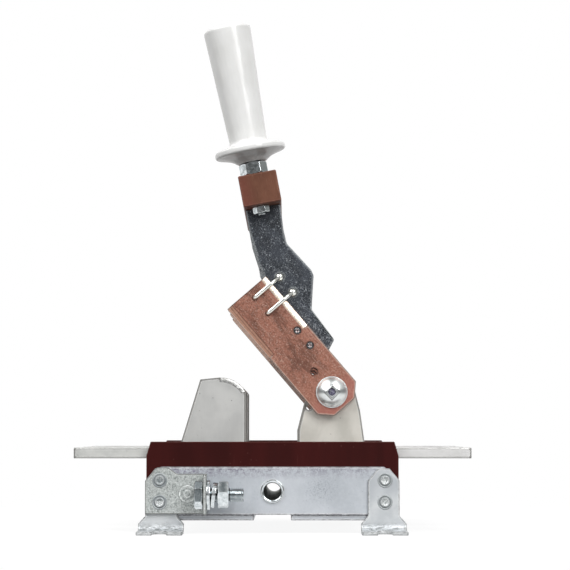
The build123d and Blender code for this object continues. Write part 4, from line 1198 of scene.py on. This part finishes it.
def bright_steel():
    """Satin plating on the pivots' domes, with painted dark reflections in wedge shapes beside each boss and
    painted shade along the boss's edges, in crevices and in the recess of each.
    """
    pivot = middle(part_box("pivot_pin_1"))
    look = Look("bright_steel", pivot=(pivot.x, 0, pivot.z))
    wave = look.noise(3.5, detail=2)
    scuffs = look.noise(0.7, detail=3, rough=0.7)
    x, _, z = look.parts()
    reach = look.distance(x, z)
    look.colour = look.toned(wave, (0.78, 0.81, 0.81), (0.86, 0.89, 0.88))
    look.over(look.between(scuffs, 0.58, 0.68), (0.5, 0.5, 0.52), 0.25)
    # Painted dark reflections in wedge shapes left, right and above each boss, as a turned dome shows them.
    around = look.maths("COSINE", look.maths("MULTIPLY", look.maths("ARCTAN2", z, x), 4.0))
    dark_reflection_wedges = look.both(look.between(around, 0.1, 1.0), look.between(z, -2.5, 0.5))
    dark_reflection_wedges = look.both(dark_reflection_wedges, look.between(reach, 12.0, 8.0))
    look.over(dark_reflection_wedges, (0.2, 0.21, 0.21), 0.65)
    # Painted shade along the square boss's edges.
    square = look.plus(look.maths("ABSOLUTE", x), look.maths("ABSOLUTE", z))
    boss_outline_shade = look.either(look.near(square, BOSS_HALF * math.sqrt(2), 0.6), look.near(square, 4.4, 0.45))
    look.over(boss_outline_shade, (0.07, 0.075, 0.08), 0.8)
    # Painted shade in the recess, with a darker ring at its rim.
    recess = look.both(look.between(reach, 2.9, 2.2), look.between(scuffs, 0.62, 0.46, 0.55, 1.0))
    look.over(recess, (0.11, 0.1, 0.17))
    look.over(look.near(reach, 2.3, 0.5), (0.05, 0.05, 0.07), 0.8)
    # Painted shade in corners and gaps.
    look.over(look.crevices(1.4), (0.1, 0.1, 0.12))
    return look.finish(
        Metallic=1.0,
        Roughness=look.led(wave, 0.34, 0.4),
        Normal=look.bump(scuffs, 0.003),
        Anisotropic=0.4,
        Tangent=look.node("Tangent", direction_type="RADIAL", axis="Y").outputs[0],
    )


def spring_wire():
    """Bright drawn wire with faint lengthwise marks."""
    look = Look("spring_wire", turn=KNIFE_ANGLE)
    drawn = look.noise(0.5, detail=2, stretch=(1, 8, 8))
    look.colour = look.toned(drawn, (0.66, 0.66, 0.6), (0.84, 0.85, 0.82))
    return look.finish(Metallic=1.0, Roughness=look.led(drawn, 0.12, 0.2), Normal=look.bump(drawn, 0.01))


def brown_laminate():
    """Sawn brown laminate: pale fibres down its face, redder at the left, dark specks."""
    look = Look("brown_laminate", turn=HANDLE_ANGLE - 90)
    tone = look.noise(14, detail=3)
    fibres = look.noise(0.8, detail=3, rough=0.7, stretch=(1, 1, 9))
    x, _, _ = look.parts()
    middle_x = middle(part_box("cross_beam")).dot(ACROSS_HANDLE) / MM
    look.colour = look.toned(tone, (0.11, 0.039, 0.02), (0.15, 0.057, 0.031))
    red = look.between(x, middle_x - 2, middle_x - 11, 0.0, 0.6)
    look.over(red, (0.14, 0.035, 0.023))
    look.over(look.between(fibres, 0.55, 0.75, 0.0, 0.45), (0.27, 0.135, 0.085))
    look.over(look.specks(0.9, 0.16), (0.04, 0.015, 0.01), 0.6)
    # Painted highlight along the edges.
    rim, _ = look.edges(0.7)
    look.over(rim, (0.4, 0.2, 0.16), 0.45)
    return look.finish(
        Roughness=look.led(fibres, 0.5, 0.68),
        Normal=look.bump(fibres, 0.05),
        Specular_IOR_Level=0.3,
    )


def pale_plastic():
    """Glossy off-white moulding, a little wavy, with faint marks and painted shade in its crevices."""
    look = Look("pale_plastic", turn=HANDLE_ANGLE - 90)
    tone = look.noise(26, detail=2)
    wave = look.noise(9, detail=2, stretch=(1, 1, 3))
    look.colour = look.toned(tone, (0.68, 0.68, 0.665), (0.73, 0.73, 0.72))
    look.over(look.specks(1.2, 0.012), (0.42, 0.42, 0.4), 0.3)
    # Painted shade in corners and gaps.
    look.over(look.crevices(2.0), (0.3, 0.3, 0.29), 0.4)
    return look.finish(Roughness=look.led(tone, 0.2, 0.27), Normal=look.bump(wave, 0.6))


def make_materials():
    """One material for each of the record's slots."""
    makers = (zinc_plate, zinc_feet, zinc_bracket, zinc_fasteners, red_insulation, tinned_copper)
    makers += (copper, dark_steel, bright_steel, spring_wire, brown_laminate, pale_plastic)
    return {make.__name__: make() for make in makers}


# --- Stage ---


def shown_white(tree):
    """1 for rays that show what lies behind: from the camera, off a mirror or through glass."""
    path = tree.nodes.new("ShaderNodeLightPath").outputs
    shown = tree.either(path["Is Camera Ray"], path["Is Glossy Ray"])
    return tree.either(shown, path["Is Transmission Ray"])


def make_floor():
    """A pale floor that keeps the shadow near the switch and turns plain white further off."""
    bm = bmesh.new()
    bmesh.ops.create_grid(bm, x_segments=1, y_segments=1, size=FLOOR_HALF)
    floor = in_scene("floor", mesh_of(bm))
    material = bpy.data.materials.new("floor")
    material.use_nodes = True
    floor.data.materials.append(material)
    tree = Nodes(material.node_tree)
    tree.nodes.remove(tree.nodes["Principled BSDF"])
    here = tree.nodes.new("ShaderNodeTexCoord").outputs["Object"]
    x, y, _ = tree.node("SeparateXYZ", here).outputs
    far = tree.between(tree.distance(x, y), *FLOOR_FADE)
    paint = tree.node("BsdfDiffuse", FLOOR_PAINT).outputs[0]
    lift = tree.node("Emission", WHITE, tree.both(shown_white(tree), FLOOR_GLOW)).outputs[0]
    white = tree.node("Emission", WHITE, 1.0).outputs[0]
    near_part = tree.node("AddShader", lift, paint).outputs[0]
    far_part = tree.node("MixShader", shown_white(tree), paint, white).outputs[0]
    whole = tree.node("MixShader", far, near_part, far_part).outputs[0]
    tree.links.new(whole, tree.nodes["Material Output"].inputs["Surface"])


def make_world():
    """A soft room: white where it is the background, dim in front for the metals to show."""
    world = bpy.data.worlds.new("room")
    SCENE.world = world
    world.use_nodes = True
    tree = Nodes(world.node_tree)
    here = tree.nodes.new("ShaderNodeTexCoord").outputs["Generated"]
    _, y, z = tree.node("SeparateXYZ", here).outputs
    behind = tree.between(y, -0.1, 0.4)
    front = tree.between(z, 0.08, 0.6, ROOM_LOW, ROOM_HIGH)
    room = tree.either(front, tree.both(behind, ROOM_HIGH))
    path = tree.nodes.new("ShaderNodeLightPath").outputs
    mirrored = tree.both(path["Is Glossy Ray"], behind)
    shown = tree.either(tree.either(path["Is Camera Ray"], path["Is Transmission Ray"]), mirrored)
    level = tree.either(room, shown)
    tree.nodes["Background"].inputs["Color"].default_value = WHITE
    tree.links.new(level, tree.nodes["Background"].inputs["Strength"])


def add_lamp(name, place, width, height, power):
    """A soft box that faces the middle of the switch."""
    lamp = bpy.data.lights.new(name, "AREA")
    lamp.shape = "RECTANGLE"
    lamp.size = width
    lamp.size_y = height
    lamp.energy = power
    holder = in_scene(name, lamp)
    holder.location = place
    holder.rotation_euler = (middle((cad_low, cad_high)) - Vector(place)).to_track_quat("-Z", "Y").to_euler()


def make_camera():
    """The photograph's view, nearly level and square to the side."""
    camera = bpy.data.cameras.new("camera")
    camera.sensor_width = 36
    camera.lens = CAMERA_LENS
    holder = in_scene("camera", camera)
    holder.location = CAMERA_PLACE
    holder.rotation_euler = (math.radians(90 + CAMERA_RISE), 0, math.radians(CAMERA_TURN))
    SCENE.camera = holder


MATERIALS = make_materials()
for name in sorted(NODES):
    finish_piece(name, MATERIALS)
make_floor()
make_world()
add_lamp("key", place=(0.72, -1.25, 1.2), width=0.6, height=1.4, power=24)
add_lamp("fill", place=(-1.07, -0.96, 1.45), width=1.0, height=1.5, power=24)
make_camera()
SCENE.view_settings.view_transform = "Standard"
